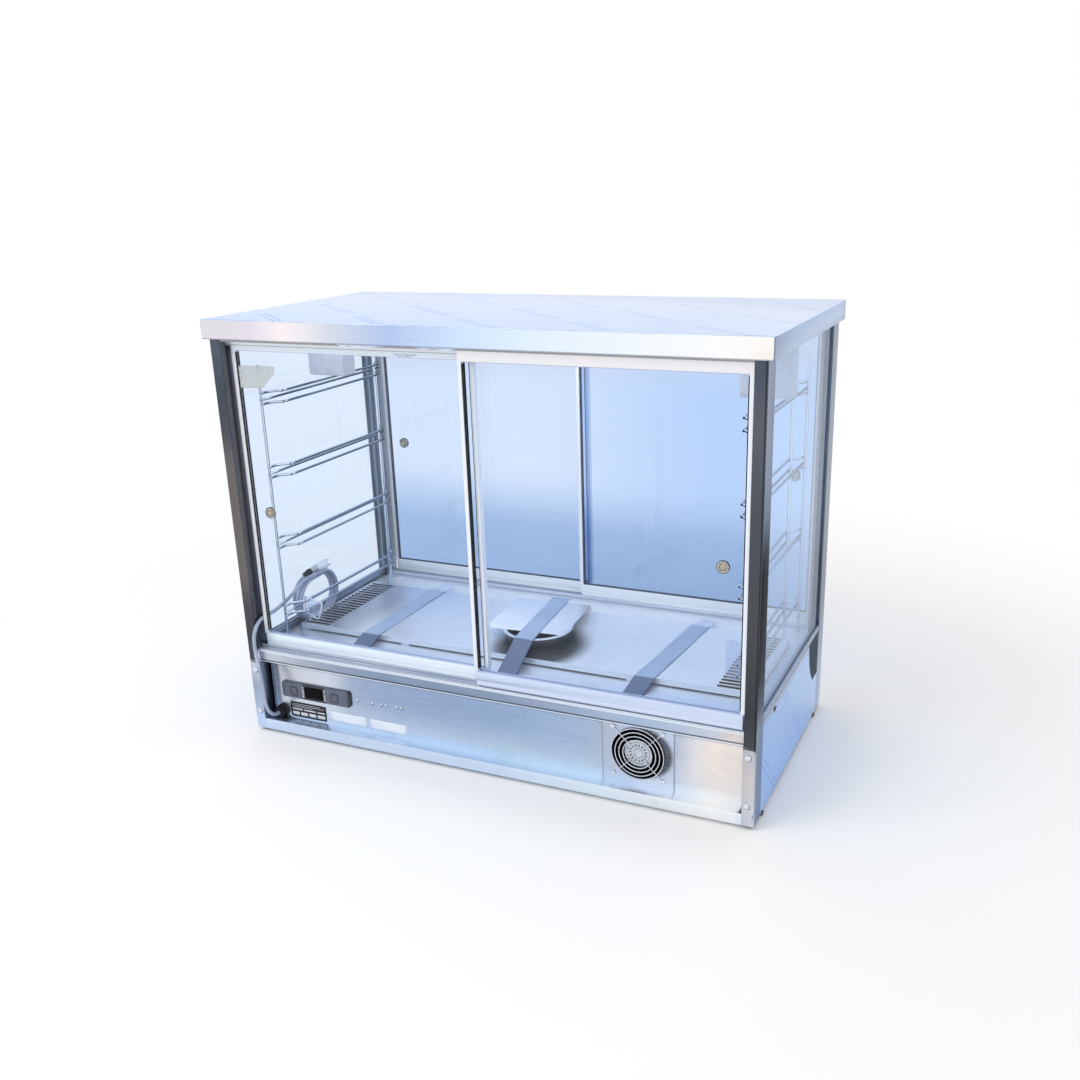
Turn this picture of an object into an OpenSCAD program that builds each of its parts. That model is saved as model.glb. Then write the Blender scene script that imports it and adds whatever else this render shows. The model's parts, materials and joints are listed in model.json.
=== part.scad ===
// Glazed countertop food holding cabinet: a stainless body on four posts, two pairs of
// sliding glass doors, two wire tray racks, an air tray with louvres and a water pan.
// Millimetres, +Z up. The origin is on the surface under the feet, at the middle.

/* [Cabinet] */
// Width of the top slab, the widest part
slab_w = 1200; // [1000:10:1500]
// Depth of the top slab
slab_d = 600; // [560:10:700]
// Height of the posts, which is also the height of the slab's underside above the feet
post_h = 890; // [800:10:1000]
// Height of the top slab's folded edge
slab_t = 40; // [25:1:60]
// Radius of the slab's upright corners
slab_corner_r = 4; // [2:0.5:8]
// How far the slab stands proud of the posts at each side
side_overhang = 12.5; // [6:0.5:20]
// How far the slab stands proud of the posts at the front
front_overhang = 10; // [4:1:20]
// Width of the lips folded in under the slab
slab_lip = 65; // [62:1:80]
// Thickness of the folded sheet that carries the load
sheet_t = 1.5; // [1:0.1:2]
// Thickness of the lighter sheet of the panels
panel_t = 1.2; // [0.8:0.1:1.5]

/* [Posts] */
// Width of a post, seen from the front
post_w = 24; // [20:1:30]
// Depth of a post
post_d = 50; // [50:1:60]
// Thickness of the face strip on each front post
strip_t = 2.5; // [1.5:0.1:3]
// Width of the shadow groove behind the face strip
groove_w = 2; // [1:0.5:3]
// Depth of the shadow groove behind the face strip
groove_d = 3; // [2:0.5:5]

/* [Base] */
// Height of the deck that the food space stands on
deck_h = 195; // [180:1:220]
// Height of the upper ledge's face
ledge_h = 25; // [15:1:40]
// Height of the plinth's face
plinth_h = 25; // [15:1:40]
// How far the control panel is set back from the posts' faces
panel_recess = 30; // [25:1:31]
// Gap between a post and the control panel at each end
panel_end_gap = 8.5; // [6:0.5:15]
// Height of the step up to the rear sill
rear_step = 3; // [2:0.5:6]
// Depth of the sills that the door tracks lie on
sill_d = 50; // [50:1:60]
// Height of the filmed panels at the sides
side_panel_h = 200; // [200:1:220]
// Width of the flanges folded in on the side panels
side_flange = 18; // [12:1:24]
// Diameter of a foot
foot_d = 24; // [16:1:30]
// Height of a foot
foot_h = 8; // [6:1:12]
// Distance of a foot's middle from the slab's side edge
foot_x = 22; // [20:1:30]
// Distance of a foot's middle from the post beside it
foot_y = 15; // [13:1:30]

/* [Side glass] */
// Thickness of the side glass
side_glass_t = 5; // [4:0.5:6]
// Height of the glazing channel under the glass
channel_h = 13; // [8:1:20]
// Width of the glazing channel
channel_w = 12; // [10:0.5:14]
// Wall of the glazing channel
channel_wall = 1.5; // [1:0.1:2]
// Clearance of the glass between the channel's lips, each side
channel_clear = 0.3; // [0.2:0.1:0.6]

/* [Doors] */
// Thickness of a door's frame
door_t = 14; // [12:1:15]
// How far a pair of doors overlaps when both are shut
door_overlap = 13; // [8:1:30]
// Gap between the two doors of a pair, front to back
door_gap = 4; // [4:0.5:8]
// Distance from the posts' faces to the outer door
door_setback = 4; // [4:0.5:8]
// Height of a door's bottom rail
rail_h = 30; // [24:1:40]
// Height of a door's top rail
top_rail_h = 20; // [16:1:28]
// Width of a door's stile
stile_w = 8; // [8:0.5:14]
// How much shorter the bottom rail is than the door, each end
rail_inset = 3.5; // [2:0.5:3.5]
// Thickness of the door glass
glass_t = 5; // [4:0.5:6]
// How deep the glass sits in its frame
glass_bite = 3.5; // [3:0.5:4]
// Clearance of the glass in its groove, each side
glass_clear = 0.3; // [0.2:0.1:0.6]
// Width of the black seal between glass and frame
seal_w = 2.6; // [1.5:0.1:4]
// Clearance left beside a shut door
door_clear = 0.5; // [0.3:0.1:1]
// How far the left-hand door of each pair stands open, which lets the mains lead in
door_ajar = 10; // [10:0.5:14]
// Height of the runners under a door
runner_h = 1.7; // [1:0.1:2.5]

/* [Pulls] */
// Diameter of a finger pull's rim
pull_d = 24; // [18:1:30]
// Diameter of the hole for it in the glass
pull_hole_d = 18; // [12:1:22]
// Distance of a pull from its door's outer edge
pull_x = 49; // [40:1:70]
// Height of a front pull above the bottom of its door
pull_z = 315; // [200:5:420]
// How much higher the rear pulls are
rear_pull_up = 33; // [0:1:60]

/* [Tracks] */
// Thickness of the aluminium tracks
track_t = 1.4; // [1:0.1:2]
// Gap between the sill and a door's frame
sill_gap = 6; // [5:0.5:8]
// Height of the ribs that the runners slide on
rib_h = 4; // [3:0.1:4.2]
// How far the deep lips of the top track reach down
top_lip_h = 15; // [10:1:18]
// Gap between a door's top and the slab
head_gap = 5; // [4:0.5:8]

/* [Racks] */
// Number of tray levels
rack_levels = 4; // [3:1:4]
// Height of the lowest level above the deck
rack_first = 81; // [70:1:100]
// Distance between levels
rack_pitch = 163; // [120:1:165]
// Height of the slot between the two guide wires of a level, middle to middle
rack_slot = 24; // [16:1:30]
// Diameter of the upright rods
rod_d = 6; // [5:0.5:8]
// Diameter of the guide wires
wire_d = 5; // [4:0.5:6]
// Distance of the uprights from the slab's side edge
rack_x = 58; // [56:1:70]
// How far the guide wires stand in from the uprights
guide_in = 28; // [20:1:40]
// Distance of the front uprights from the slab's front edge
rack_front = 95; // [85:1:110]
// Distance of the rear uprights from the slab's rear edge
rack_rear = 60; // [56:1:90]

/* [Air tray] */
// Distance of the tray from the slab's left edge
tray_left = 52; // [52:1:120]
// Distance of the tray from the slab's right edge
tray_right = 56; // [52:1:120]
// Depth of the air tray
tray_d = 302; // [296:1:306]
// Distance of the tray from the slab's front edge
tray_front = 156; // [152:1:160]
// Height of the tray's top above the deck
tray_h = 15; // [14:0.5:20]
// Height of the skirt folded down round the tray
skirt_h = 12; // [6:1:12]
// Width of the tabs that the tray stands on
tray_tab = 20; // [12:1:30]
// Distance of the first louvre from the tray's front edge
louvre_margin = 12; // [8:1:40]
// Distance between louvres
louvre_pitch = 15.4; // [12:0.1:15.6]
// Length of a louvre slot
louvre_l = 63; // [30:1:64]
// Width of a louvre slot
louvre_w = 5.5; // [4:0.5:7]
// Distance of the louvres from the tray's end
louvre_edge = 8; // [6:1:30]
// Distance of the right louvres from the tray's end
louvre_right_edge = 17; // [6:1:30]

/* [Water pan] */
// Distance of the pan's middle behind the tray's front edge
pan_back = 121; // [100:1:150]
// Diameter of the pan's body
pan_d = 144; // [110:1:146]
// Height of the pan
pan_h = 38; // [30:1:45]
// Width of the pan's rolled rim
pan_rim = 7; // [5:0.5:9]
// Wall of the pan
pan_wall = 1.2; // [0.8:0.1:2]
// Width of the pan's cover plate
cover_w = 187; // [178:1:200]
// Depth of the pan's cover plate
cover_d = 194; // [180:1:200]

/* [Control panel] */
// Width of the controller's face
control_w = 185; // [150:1:200]
// Height of the controller's face
control_h = 38; // [30:1:45]
// How far the controller's face stands out of the panel
control_t = 5; // [4:0.5:7]
// Size of each of the two square buttons
button_size = 20; // [14:0.5:24]
// Travel of a button
button_travel = 1.2; // [0.6:0.1:1.5]
// Distance of the fan's middle from the slab's right edge
fan_edge = 258.5; // [200:0.5:300]
// Size of the fan's square body
fan_size = 120; // [92:1:120]
// Distance between the fan's screws
fan_pitch = 105; // [82.5:0.5:105]
// Depth of the fan's body
fan_depth = 38; // [25:1:38]
// Number of fan blades
fan_blades = 7; // [5:1:9]
// Diameter of the fan guard's wire
guard_wire = 2.2; // [1.5:0.1:3]
// Number of rings in the fan guard
guard_rings = 4; // [3:1:5]

/* [Mains lead] */
// Diameter of the mains lead
cord_d = 8.4; // [6:0.2:8.4]
// Diameter of the cable gland
gland_d = 27; // [20:1:30]

/* [Packing] */
// Width of a packing strap
strap_w = 44; // [30:1:50]
// Thickness of a packing strap
strap_t = 0.8; // [0.5:0.1:1.2]
// Distance of the left strap's middle from the slab's left edge
strap_left_x = 227; // [180:1:300]
// Distance of the right strap's middle from the slab's right edge
strap_right_x = 286.5; // [240:0.5:340]
// Depth of a foam block
foam_d = 45; // [30:1:60]
// Width of the left foam block
foam_left_w = 95; // [60:1:100]
// Height of the left foam block below the slab
foam_left_h = 107; // [60:1:108]
// Width of the right foam block
foam_right_w = 106; // [60:1:110]
// Height of the right foam block below the slab
foam_right_h = 119; // [60:1:119]

/* [Hidden] */
$fn = 48;
slip = 0.3;            // gap left between curved or loose pieces and their seats
small = 0.01;

// The cabinet frame: x from the slab's left edge, y from its front edge, z from the posts' feet.
post_in = side_overhang + post_w;                    // inner face of the left posts
open_w = slab_w - 2 * post_in;                       // clear width between the posts
post_front = front_overhang;
post_back = front_overhang + post_d;
rear_post_front = slab_d - post_d;
body_mid_y = (front_overhang + slab_d) / 2;          // the doors are the same about this line
panel_y = front_overhang + panel_recess;             // front face of the control panel
sill_back = front_overhang + sill_d;
rear_sill_front = slab_d - sill_d;
rear_sill_h = deck_h + rear_step;

channel_x0 = side_overhang + 0.5;
channel_x1 = channel_x0 + channel_w;
glass_x = channel_x0 + (channel_w - side_glass_t) / 2;

door_w = (open_w + door_overlap) / 2;
door_z = deck_h + sill_gap;
door_h = post_h - head_gap - door_z;
rear_door_h = door_h - rear_step;
outer_y = front_overhang + door_setback;
inner_y = outer_y + door_t + door_gap;
rear_outer_y = 2 * body_mid_y - outer_y - door_t;
rear_inner_y = 2 * body_mid_y - inner_y - door_t;
left_door_x = post_in + door_ajar;
right_door_x = slab_w - post_in - door_clear - door_w;
glass_y = (door_t - glass_t) / 2;                    // front face of the glass within a door

tray_x = tray_left;
tray_w = slab_w - tray_left - tray_right;
louvre_count = floor((tray_d - 2 * louvre_margin) / louvre_pitch) + 1;
tray_top = deck_h + tray_h;
pan_x = slab_w / 2 + 13;
pan_y = tray_front + pan_back;
cover_x = slab_w / 2 - 11;
cover_y = pan_y + 59;
cover_turn = 4.5;
cover_z = deck_h + pan_h;
cover_front = cover_y - cover_d / 2;
foam_left_x = 88;
foam_left_y = 232;
foam_right_x = slab_w - 34 - foam_right_w;
foam_right_y = 290;

control_x = 166;
control_z = 96.5;
display_w = 49;
display_h = 28;
button_gap = 0.3;
button_depth = 3;
button_left_x = control_x - 59.5;
button_right_x = control_x + 51;
housing_w = control_w - 9;
housing_h = control_h - 8;
housing_depth = 60;

fan_x = slab_w - fan_edge;
fan_z = 96.5;
fan_plate_w = 154;
fan_face = panel_y - panel_t;                        // front face of the fan's cover plate
fan_hole_d = fan_size - 8;
fan_hub_d = 61;
fan_bore_d = 8;
hub_l = 20;
blade_w = 18;
blade_t = 1.6;
fan_screw_d = 4;
shaft_clear = 0.05;
screw_head_d = 9;
guard_r0 = 57 * fan_size / 120;
guard_r_step = 8.4;
guard_leg_r = guard_r0 - guard_rings * guard_r_step;
guard_eye_d = 11;

plate_w = 23;
plate_t = 2;
plate_z0 = 28;
plate_z1 = 164;
screw_x = 26.6;
screw_z = [45, 147];
rivet_x = [275, 315, 338, 350, 378, 389];
rivet_z = 98.5;
rivet_d = 5;

gland_x = 66;
gland_z = 38.5;
gland_l = 18;

// The mains lead's route in the cabinet frame, from the gland to the top of the coil.
cord_route = [
    [66, 22, 38.5], [66, 18, 38.7], [65.8, 10, 41], [65, 1, 46], [63.6, -5.5, 54],
    [61.5, -9, 64], [59, -9, 78], [56, -6.5, 95], [52, -3.5, 115], [47.5, -0.5, 137],
    [42, 2, 160], [37, 3.6, 180], [34, 4.4, 198], [33.4, 4.6, 214], [35.5, 4.2, 229],
    [39.2, 5, 242], [41.3, 11, 253], [41.5, 22, 261], [41.5, 36, 265], [41.6, 52, 266],
    [42.6, 70, 267], [44.8, 90, 271], [46.8, 110, 277], [48, 130, 284], [48, 150, 291.5],
    [47.6, 170, 298.5], [47.2, 188, 303], [47, 204, 304.9], [47, 216, 305.1]
];
coil_turns = 3;
coil_x = 26;
coil_y0 = 164;
coil_w = 150;
coil_h = 106;
plug_x = 36;
plug_y = 232;
plug_z = 312.7;

// ---------- helpers ----------

// Puts what is drawn in the cabinet frame into the part's own frame.
module place() translate([-slab_w / 2, -slab_d / 2, foot_h]) children();

// Draws its children at the right-hand side, as a mirror image of the left.
module at_right() translate([slab_w, 0, 0]) mirror([1, 0, 0]) children();

// Draws its children at the rear, as a mirror image of the front about the doors' middle line.
module at_rear() translate([0, 2 * body_mid_y, 0]) mirror([0, 1, 0]) children();

// A block between two corners.
module block(low, high) translate(low) cube(high - low);

// Extrudes a (y, z) outline along X.
module along_x(x0, x1) translate([x0, 0, 0]) rotate([90, 0, 90]) linear_extrude(x1 - x0) children();

// Extrudes an (x, z) outline along Y.
module along_y(y0, y1) translate([0, y1, 0]) rotate([90, 0, 0]) linear_extrude(y1 - y0) children();

// Turns an upright shape about its own axis so that it points to the front.
module facing_front() rotate([90, 0, 0]) children();

// A rectangle with round corners, made of true arcs.
module round_rect(w, d, r) {
    translate([r, 0]) square([w - 2 * r, d]);
    translate([0, r]) square([w, d - 2 * r]);
    for (x = [r, w - r], y = [r, d - r]) translate([x, y]) circle(r);
}

// A flat ring outline: a rectangle with a smaller one cut out of it.
module frame_outline(w, h, side, bottom, top) difference() {
    square([w, h]);
    translate([side, bottom]) square([w - 2 * side, h - bottom - top]);
}

function unit(v) = v / norm(v);

// Direction of a path at point i: towards the next point, from the one before.
function heading(path, i) =
    unit(path[min(i + 1, len(path) - 1)] - path[max(i - 1, 0)]);

// A side vector that stays level, square to the heading.
function side_of(t) = unit(cross(t, abs(t[2]) > 0.999 ? [0, 1, 0] : [0, 0, 1]));

// A sweep keeps one reference vector all along, so that the tube doesn't twist.
function carried(path, i) =
    i == 0 ? side_of(heading(path, 0))
           : let (s = carried(path, i - 1), t = heading(path, i)) unit(s - (s * t) * t);

// One ring of a tube round point i.
function ring(path, i, r, sides) =
    let (t = heading(path, i), s = carried(path, i), u = cross(t, s))
    [for (k = [0:sides - 1]) path[i] + r * (cos(360 * k / sides) * s + sin(360 * k / sides) * u)];

// A round tube along a path, as one closed polyhedron.
module tube(path, d, sides = 10) {
    n = len(path);
    points = [for (i = [0:n - 1]) each ring(path, i, d / 2, sides)];
    walls = [for (i = [0:n - 2], k = [0:sides - 1])
        let (a = i * sides + k, b = i * sides + (k + 1) % sides) [a, b, b + sides, a + sides]];
    first = [for (k = [0:sides - 1]) k];
    last = [for (k = [sides - 1:-1:0]) (n - 1) * sides + k];
    polyhedron(points, concat([first], [for (w = walls) [w[3], w[2], w[1], w[0]]], [last]));
}

// ---------- slab and posts ----------

module top_slab() color("lightsteelblue") place() translate([0, 0, post_h]) difference() {
    linear_extrude(slab_t) round_rect(slab_w, slab_d, slab_corner_r);
    block([sheet_t, sheet_t, sheet_t], [slab_w - sheet_t, slab_d - sheet_t, slab_t - sheet_t]);
    block([slab_lip, slab_lip, -1], [slab_w - slab_lip, slab_d - slab_lip, slab_t / 2]);
}

module ceiling_panel() color("lightgray") place()
    block([slab_lip / 2, slab_lip / 2, post_h + sheet_t],
          [slab_w - slab_lip / 2, slab_d - slab_lip / 2, post_h + sheet_t + panel_t]);

// A front post: a square tube with a face strip in front of a shadow groove.
module front_post() {
    tube_y = post_front + strip_t + groove_w;
    difference() {
        union() {
            block([side_overhang, tube_y, 0], [post_in, post_back, post_h]);
            block([side_overhang + groove_d, post_front + strip_t - small, 0],
                  [post_in, tube_y + small, post_h]);
            block([side_overhang, post_front, 0], [post_in, post_front + strip_t, post_h]);
        }
        block([side_overhang + sheet_t, tube_y + sheet_t, -1],
              [post_in - sheet_t, post_back - sheet_t, post_h + 1]);
    }
}

// A rear post: a plain square tube.
module rear_post() difference() {
    block([side_overhang, rear_post_front, 0], [post_in, slab_d, post_h]);
    block([side_overhang + sheet_t, rear_post_front + sheet_t, -1],
          [post_in - sheet_t, slab_d - sheet_t, post_h + 1]);
}

module post_front_left() color("dimgray") place() front_post();
module post_front_right() color("dimgray") place() at_right() front_post();
module post_rear_left() color("silver") place() rear_post();
module post_rear_right() color("silver") place() at_right() rear_post();

// ---------- base ----------

// A side panel: a folded channel between the posts.
module side_panel() {
    x0 = side_overhang;
    x1 = side_overhang + side_flange;
    along_y(post_back, rear_post_front) polygon([
        [x0, 0], [x1, 0], [x1, panel_t], [x0 + panel_t, panel_t],
        [x0 + panel_t, side_panel_h - panel_t], [channel_x1, side_panel_h - panel_t],
        [channel_x1, side_panel_h], [x0, side_panel_h]
    ]);
}

module side_panel_left() color("lightskyblue") place() side_panel();
module side_panel_right() color("lightskyblue") place() at_right() side_panel();

// The control panel: a flat sheet with cut-outs for the controller, fan and gland.
module front_panel() color("lightblue") place() difference() {
    block([post_in + panel_end_gap, panel_y, plinth_h],
          [slab_w - post_in - panel_end_gap, panel_y + panel_t, deck_h - sheet_t]);
    block([control_x - housing_w / 2 - slip, panel_y - 1, control_z - housing_h / 2 - slip],
          [control_x + housing_w / 2 + slip, panel_y + 3, control_z + housing_h / 2 + slip]);
    translate([fan_x, panel_y + 3, fan_z]) facing_front() cylinder(d = fan_hole_d, h = 6);
    fan_holes(panel_y + 3, 6, fan_screw_d + 0.6);
    translate([gland_x, panel_y + 3, gland_z]) facing_front() cylinder(d = gland_d * 0.6 + 0.4, h = 6);
}

// Four holes on the fan's screw pitch, drilled forwards from y.
module fan_holes(y, depth, d) for (sx = [-1, 1], sz = [-1, 1])
    translate([fan_x + sx * fan_pitch / 2, y, fan_z + sz * fan_pitch / 2])
        facing_front() cylinder(d = d, h = depth);

// The plate that carries the fan, over the full height of the panel.
module fan_plate() color("silver") place() difference() {
    block([fan_x - fan_plate_w / 2, fan_face, plinth_h],
          [fan_x + fan_plate_w / 2, panel_y, deck_h - ledge_h]);
    translate([fan_x, panel_y + 1, fan_z]) facing_front() cylinder(d = fan_hole_d, h = 6);
    fan_holes(panel_y + 1, 6, fan_screw_d + 0.6);
}

// The ledge above the panel: its face, the sill that carries the track and a lip underneath.
module upper_ledge() color("lightgray") place() along_x(post_in, slab_w - post_in) polygon([
    [post_front, deck_h - ledge_h], [fan_face, deck_h - ledge_h],
    [fan_face, deck_h - ledge_h + sheet_t], [post_front + sheet_t, deck_h - ledge_h + sheet_t],
    [post_front + sheet_t, deck_h - sheet_t], [sill_back, deck_h - sheet_t],
    [sill_back, deck_h], [post_front, deck_h]
]);

// The plinth under the panel: a folded channel, open to the rear.
module plinth() color("lightgray") place() along_x(post_in, slab_w - post_in) polygon([
    [post_front, 0], [post_back, 0], [post_back, sheet_t], [post_front + sheet_t, sheet_t],
    [post_front + sheet_t, plinth_h - sheet_t], [post_back, plinth_h - sheet_t],
    [post_back, plinth_h], [post_front, plinth_h]
]);

// The floor under the electrics, with its front and side edges turned up.
module base_floor() color("gray") place() {
    x0 = side_overhang + side_flange;
    difference() {
        block([x0, post_back, 0], [slab_w - x0, rear_post_front, plinth_h]);
        block([x0 + panel_t, post_back + panel_t, panel_t],
              [slab_w - x0 - panel_t, rear_post_front + 1, plinth_h + 1]);
    }
    block([post_in, rear_post_front - 1, 0], [slab_w - post_in, slab_d - sheet_t, panel_t]);
}

// The rear of the base: an upright sheet with air slots and the rear sill folded over it.
module rear_panel() color("silver") place() difference() {
    along_x(post_in, slab_w - post_in) polygon([
        [slab_d - sheet_t, 0], [slab_d, 0], [slab_d, rear_sill_h], [rear_sill_front, rear_sill_h],
        [rear_sill_front, deck_h], [rear_sill_front + sheet_t, deck_h],
        [rear_sill_front + sheet_t, rear_sill_h - sheet_t],
        [slab_d - sheet_t, rear_sill_h - sheet_t]
    ]);
    for (row = [0:3], col = [0:5])
        block([slab_w / 2 - 180 + col * 62, slab_d - 5, 60 + row * 22],
              [slab_w / 2 - 180 + col * 62 + 45, slab_d + 5, 66 + row * 22]);
}

// The deck, with an air opening under each row of louvres.
module deck() color("gainsboro") place() difference() {
    union() {
        block([side_overhang + panel_t, post_back, deck_h - panel_t],
              [slab_w - side_overhang - panel_t, rear_post_front, deck_h]);
        block([post_in, sill_back, deck_h - panel_t], [slab_w - post_in, post_back + 1, deck_h]);
        block([post_in, rear_post_front - 1, deck_h - panel_t],
              [slab_w - post_in, rear_sill_front + sheet_t, deck_h]);
    }
    for (x = [tray_x + louvre_edge, tray_x + tray_w - louvre_right_edge - louvre_l])
        block([x, tray_front + 40, deck_h - 5], [x + louvre_l, tray_front + tray_d - 40, deck_h + 5]);
}

module foot() translate([foot_x, 0, -foot_h]) {
    cylinder(d1 = foot_d - 4, d2 = foot_d, h = 2);
    translate([0, 0, 2]) cylinder(d = foot_d, h = foot_h - 2);
}

module feet() color("gainsboro") place() for (y = [post_back + foot_y, rear_post_front - foot_y]) {
    translate([0, y, 0]) foot();
    at_right() translate([0, y, 0]) foot();
}

// ---------- brackets and fasteners ----------

module bracket_plate() along_y(post_front - plate_t, post_front) difference() {
    translate([post_in - plate_w, plate_z0]) square([plate_w, plate_z1 - plate_z0]);
    translate([post_in - plate_w - 1, plate_z1 - 6]) difference() {
        square([7, 7]);
        translate([7, 0]) circle(6);
    }
}

module bracket_plates() color("gainsboro") place() {
    bracket_plate();
    at_right() bracket_plate();
}

// A pan-head screw whose head stands on the plane y and points to the front.
module pan_screw(x, y, z, d) translate([x, y, z]) facing_front() {
    cylinder(d = d, h = 1.2);
    translate([0, 0, 1.2 - small]) cylinder(d1 = d, d2 = d * 0.55, h = 1.4);
}

module pan_screws() color("silver") place() {
    for (z = screw_z) {
        pan_screw(screw_x, post_front - plate_t, z, screw_head_d);
        pan_screw(slab_w - screw_x, post_front - plate_t, z, screw_head_d);
    }
    for (sx = [-1, 1], sz = [-1, 1])
        pan_screw(fan_x + sx * fan_pitch / 2, fan_face - guard_wire, fan_z + sz * fan_pitch / 2,
                  screw_head_d - 1.5);
}

module panel_rivets() color("whitesmoke") place() for (x = rivet_x)
    translate([x, panel_y, rivet_z]) facing_front() {
        cylinder(d = rivet_d, h = 0.6);
        translate([0, 0, 0.6 - small]) cylinder(d1 = rivet_d, d2 = rivet_d * 0.5, h = 1.2);
    }

// ---------- air tray and water pan ----------

// One louvre: the slot, and the hood pressed up over it.
module louvre_slot() block([0, 0, -5], [louvre_l, louvre_w, 5]);
module louvre_hood() along_x(0, louvre_l) polygon([
    [louvre_w - small, -panel_t], [louvre_w + 3.5, -panel_t], [louvre_w + 3.5, -small], [1, 2.6],
    [0.4, 1.6]
]);

module each_louvre() {
    first_y = (tray_d - (louvre_count - 1) * louvre_pitch - louvre_w) / 2;
    for (x = [louvre_edge, tray_w - louvre_right_edge - louvre_l])
        for (i = [0:louvre_count - 1])
            translate([x, first_y + i * louvre_pitch, 0]) children();
}

module air_tray() color("lightgray") place() translate([tray_x, tray_front, tray_top]) {
    difference() {
        block([0, 0, -skirt_h], [tray_w, tray_d, 0]);
        block([panel_t, panel_t, -skirt_h - 1], [tray_w - panel_t, tray_d - panel_t, -panel_t]);
        each_louvre() louvre_slot();
        translate([pan_x - tray_x, pan_y - tray_front, -5]) cylinder(d = pan_d + 3, h = 10, $fn = 96);
    }
    each_louvre() louvre_hood();
    for (x = [panel_t, tray_w / 4, 3 * tray_w / 4, tray_w - panel_t - tray_tab])
        for (y = [panel_t, tray_d - 2 * panel_t])
            block([x, y, -tray_h], [x + tray_tab, y + panel_t, -panel_t]);
}

// The pan is turned from one profile: floor, wall and a rim rolled outwards.
module water_pan() color("silver") place() translate([pan_x, pan_y, deck_h]) rotate_extrude($fn = 96)
    difference() {
        union() {
            square([pan_d / 2, pan_h - 2]);
            translate([0, pan_h - 3]) square([pan_d / 2 + pan_rim - 1.5, 3]);
            translate([pan_d / 2 + pan_rim - 1.5, pan_h - 1.5]) circle(1.5);
        }
        translate([-small, pan_wall]) square([pan_d / 2 - pan_wall + small, pan_h]);
        translate([pan_d / 2, pan_h - 4]) square([pan_rim - 2.5, 2.8]);
    }

// The cover lies on the pan's rim, and stands on a flange folded down at its rear.
module pan_cover() color("aliceblue") place() translate([cover_x, cover_y, 0]) rotate([0, 0, cover_turn]) {
    block([-cover_w / 2, -cover_d / 2, cover_z], [cover_w / 2, cover_d / 2, cover_z + panel_t]);
    block([-cover_w / 2, cover_d / 2 - panel_t, tray_top], [cover_w / 2, cover_d / 2, cover_z + small]);
}

// ---------- side glass ----------

module side_glass() block([glass_x, post_back, side_panel_h + channel_wall],
                          [glass_x + side_glass_t, rear_post_front, post_h - channel_wall]);
module side_glass_left() color("lightcyan", 0.4) place() side_glass();
module side_glass_right() color("lightcyan", 0.4) place() at_right() side_glass();

// A glazing channel lies along the bottom of the side glass, and one along its top.
module glass_channel(h) along_y(post_back, rear_post_front) difference() {
    translate([channel_x0, 0]) square([channel_w, h]);
    translate([channel_x0 + channel_wall, channel_wall])
        square([channel_w - 2 * channel_wall, h - 2 * channel_wall]);
    translate([glass_x - channel_clear, channel_wall]) square([side_glass_t + 2 * channel_clear, h]);
}

module glass_channel_pair() {
    translate([0, 0, side_panel_h]) glass_channel(channel_h);
    translate([0, 0, post_h]) mirror([0, 0, 1]) glass_channel(channel_h - 5);
}

module glass_channels() color("lavender") place() {
    glass_channel_pair();
    at_right() glass_channel_pair();
}

// ---------- tracks ----------

// Lips stand between the doors; the runners slide on the ribs.
lip_front = outer_y - 2 * track_t + 0.8;
lip_middle = outer_y + door_t + (door_gap - track_t) / 2;
lip_back = inner_y + door_t + (door_gap - track_t) / 2;

module bottom_track() along_x(post_in, slab_w - post_in) {
    translate([lip_front, 0]) square([lip_back + track_t - lip_front, track_t]);
    for (y = [lip_front, outer_y + door_t / 2 - 1, inner_y + door_t / 2 - 1])
        translate([y, 0]) square([y == lip_front ? track_t : 2, rib_h]);
    for (y = [lip_middle, lip_back]) translate([y, 0]) square([track_t, rib_h + 5]);
}

module top_track() along_x(post_in, slab_w - post_in) {
    translate([lip_front, -track_t]) square([lip_back + track_t - lip_front, track_t]);
    translate([lip_front, -head_gap]) square([track_t, head_gap]);
    for (y = [lip_middle, lip_back]) translate([y, -top_lip_h]) square([track_t, top_lip_h]);
}

module bottom_tracks() color("lavender") place() {
    translate([0, 0, deck_h]) bottom_track();
    at_rear() translate([0, 0, rear_sill_h]) bottom_track();
}

module top_tracks() color("lavender") place() translate([0, 0, post_h]) {
    top_track();
    at_rear() top_track();
}

// ---------- doors ----------
// A door is drawn from its lower left front corner, h high, with its pull at x = px.

module door_frame(h) difference() {
    union() {
        along_y(0, door_t) translate([0, rail_h])
            frame_outline(door_w, h - rail_h, stile_w, -1, top_rail_h);
        block([rail_inset, 0, 0], [door_w - rail_inset, door_t, rail_h]);
        for (x = [40, door_w - 80])
            block([x, door_t / 2 - 3, -runner_h], [x + 40, door_t / 2 + 3, small]);
    }
    block([stile_w - glass_bite, glass_y - glass_clear, rail_h - glass_bite],
          [door_w - stile_w + glass_bite, glass_y + glass_t + glass_clear, h - top_rail_h + glass_bite]);
    for (y = [-1, door_t - 0.8])
        block([-1, y, rail_h * 0.3], [door_w + 1, y + 1.8, rail_h * 0.3 + 1.6]);
}

module door_glass(h, px, pz) difference() {
    block([stile_w - glass_bite + slip, glass_y, rail_h - glass_bite],
          [door_w - stile_w + glass_bite - slip, glass_y + glass_t, h - top_rail_h + glass_bite - slip]);
    translate([px, door_t, pz]) facing_front() cylinder(d = pull_hole_d, h = door_t, $fn = 64);
}

// The seal is a thin ring on each face of the glass, inside the frame.
module door_seal(h) for (y = [glass_y - 2, glass_y + glass_t]) along_y(y, y + 2)
    translate([stile_w, rail_h]) frame_outline(door_w - 2 * stile_w, h - rail_h - top_rail_h,
                                               seal_w, seal_w / 2, seal_w / 2);

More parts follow.
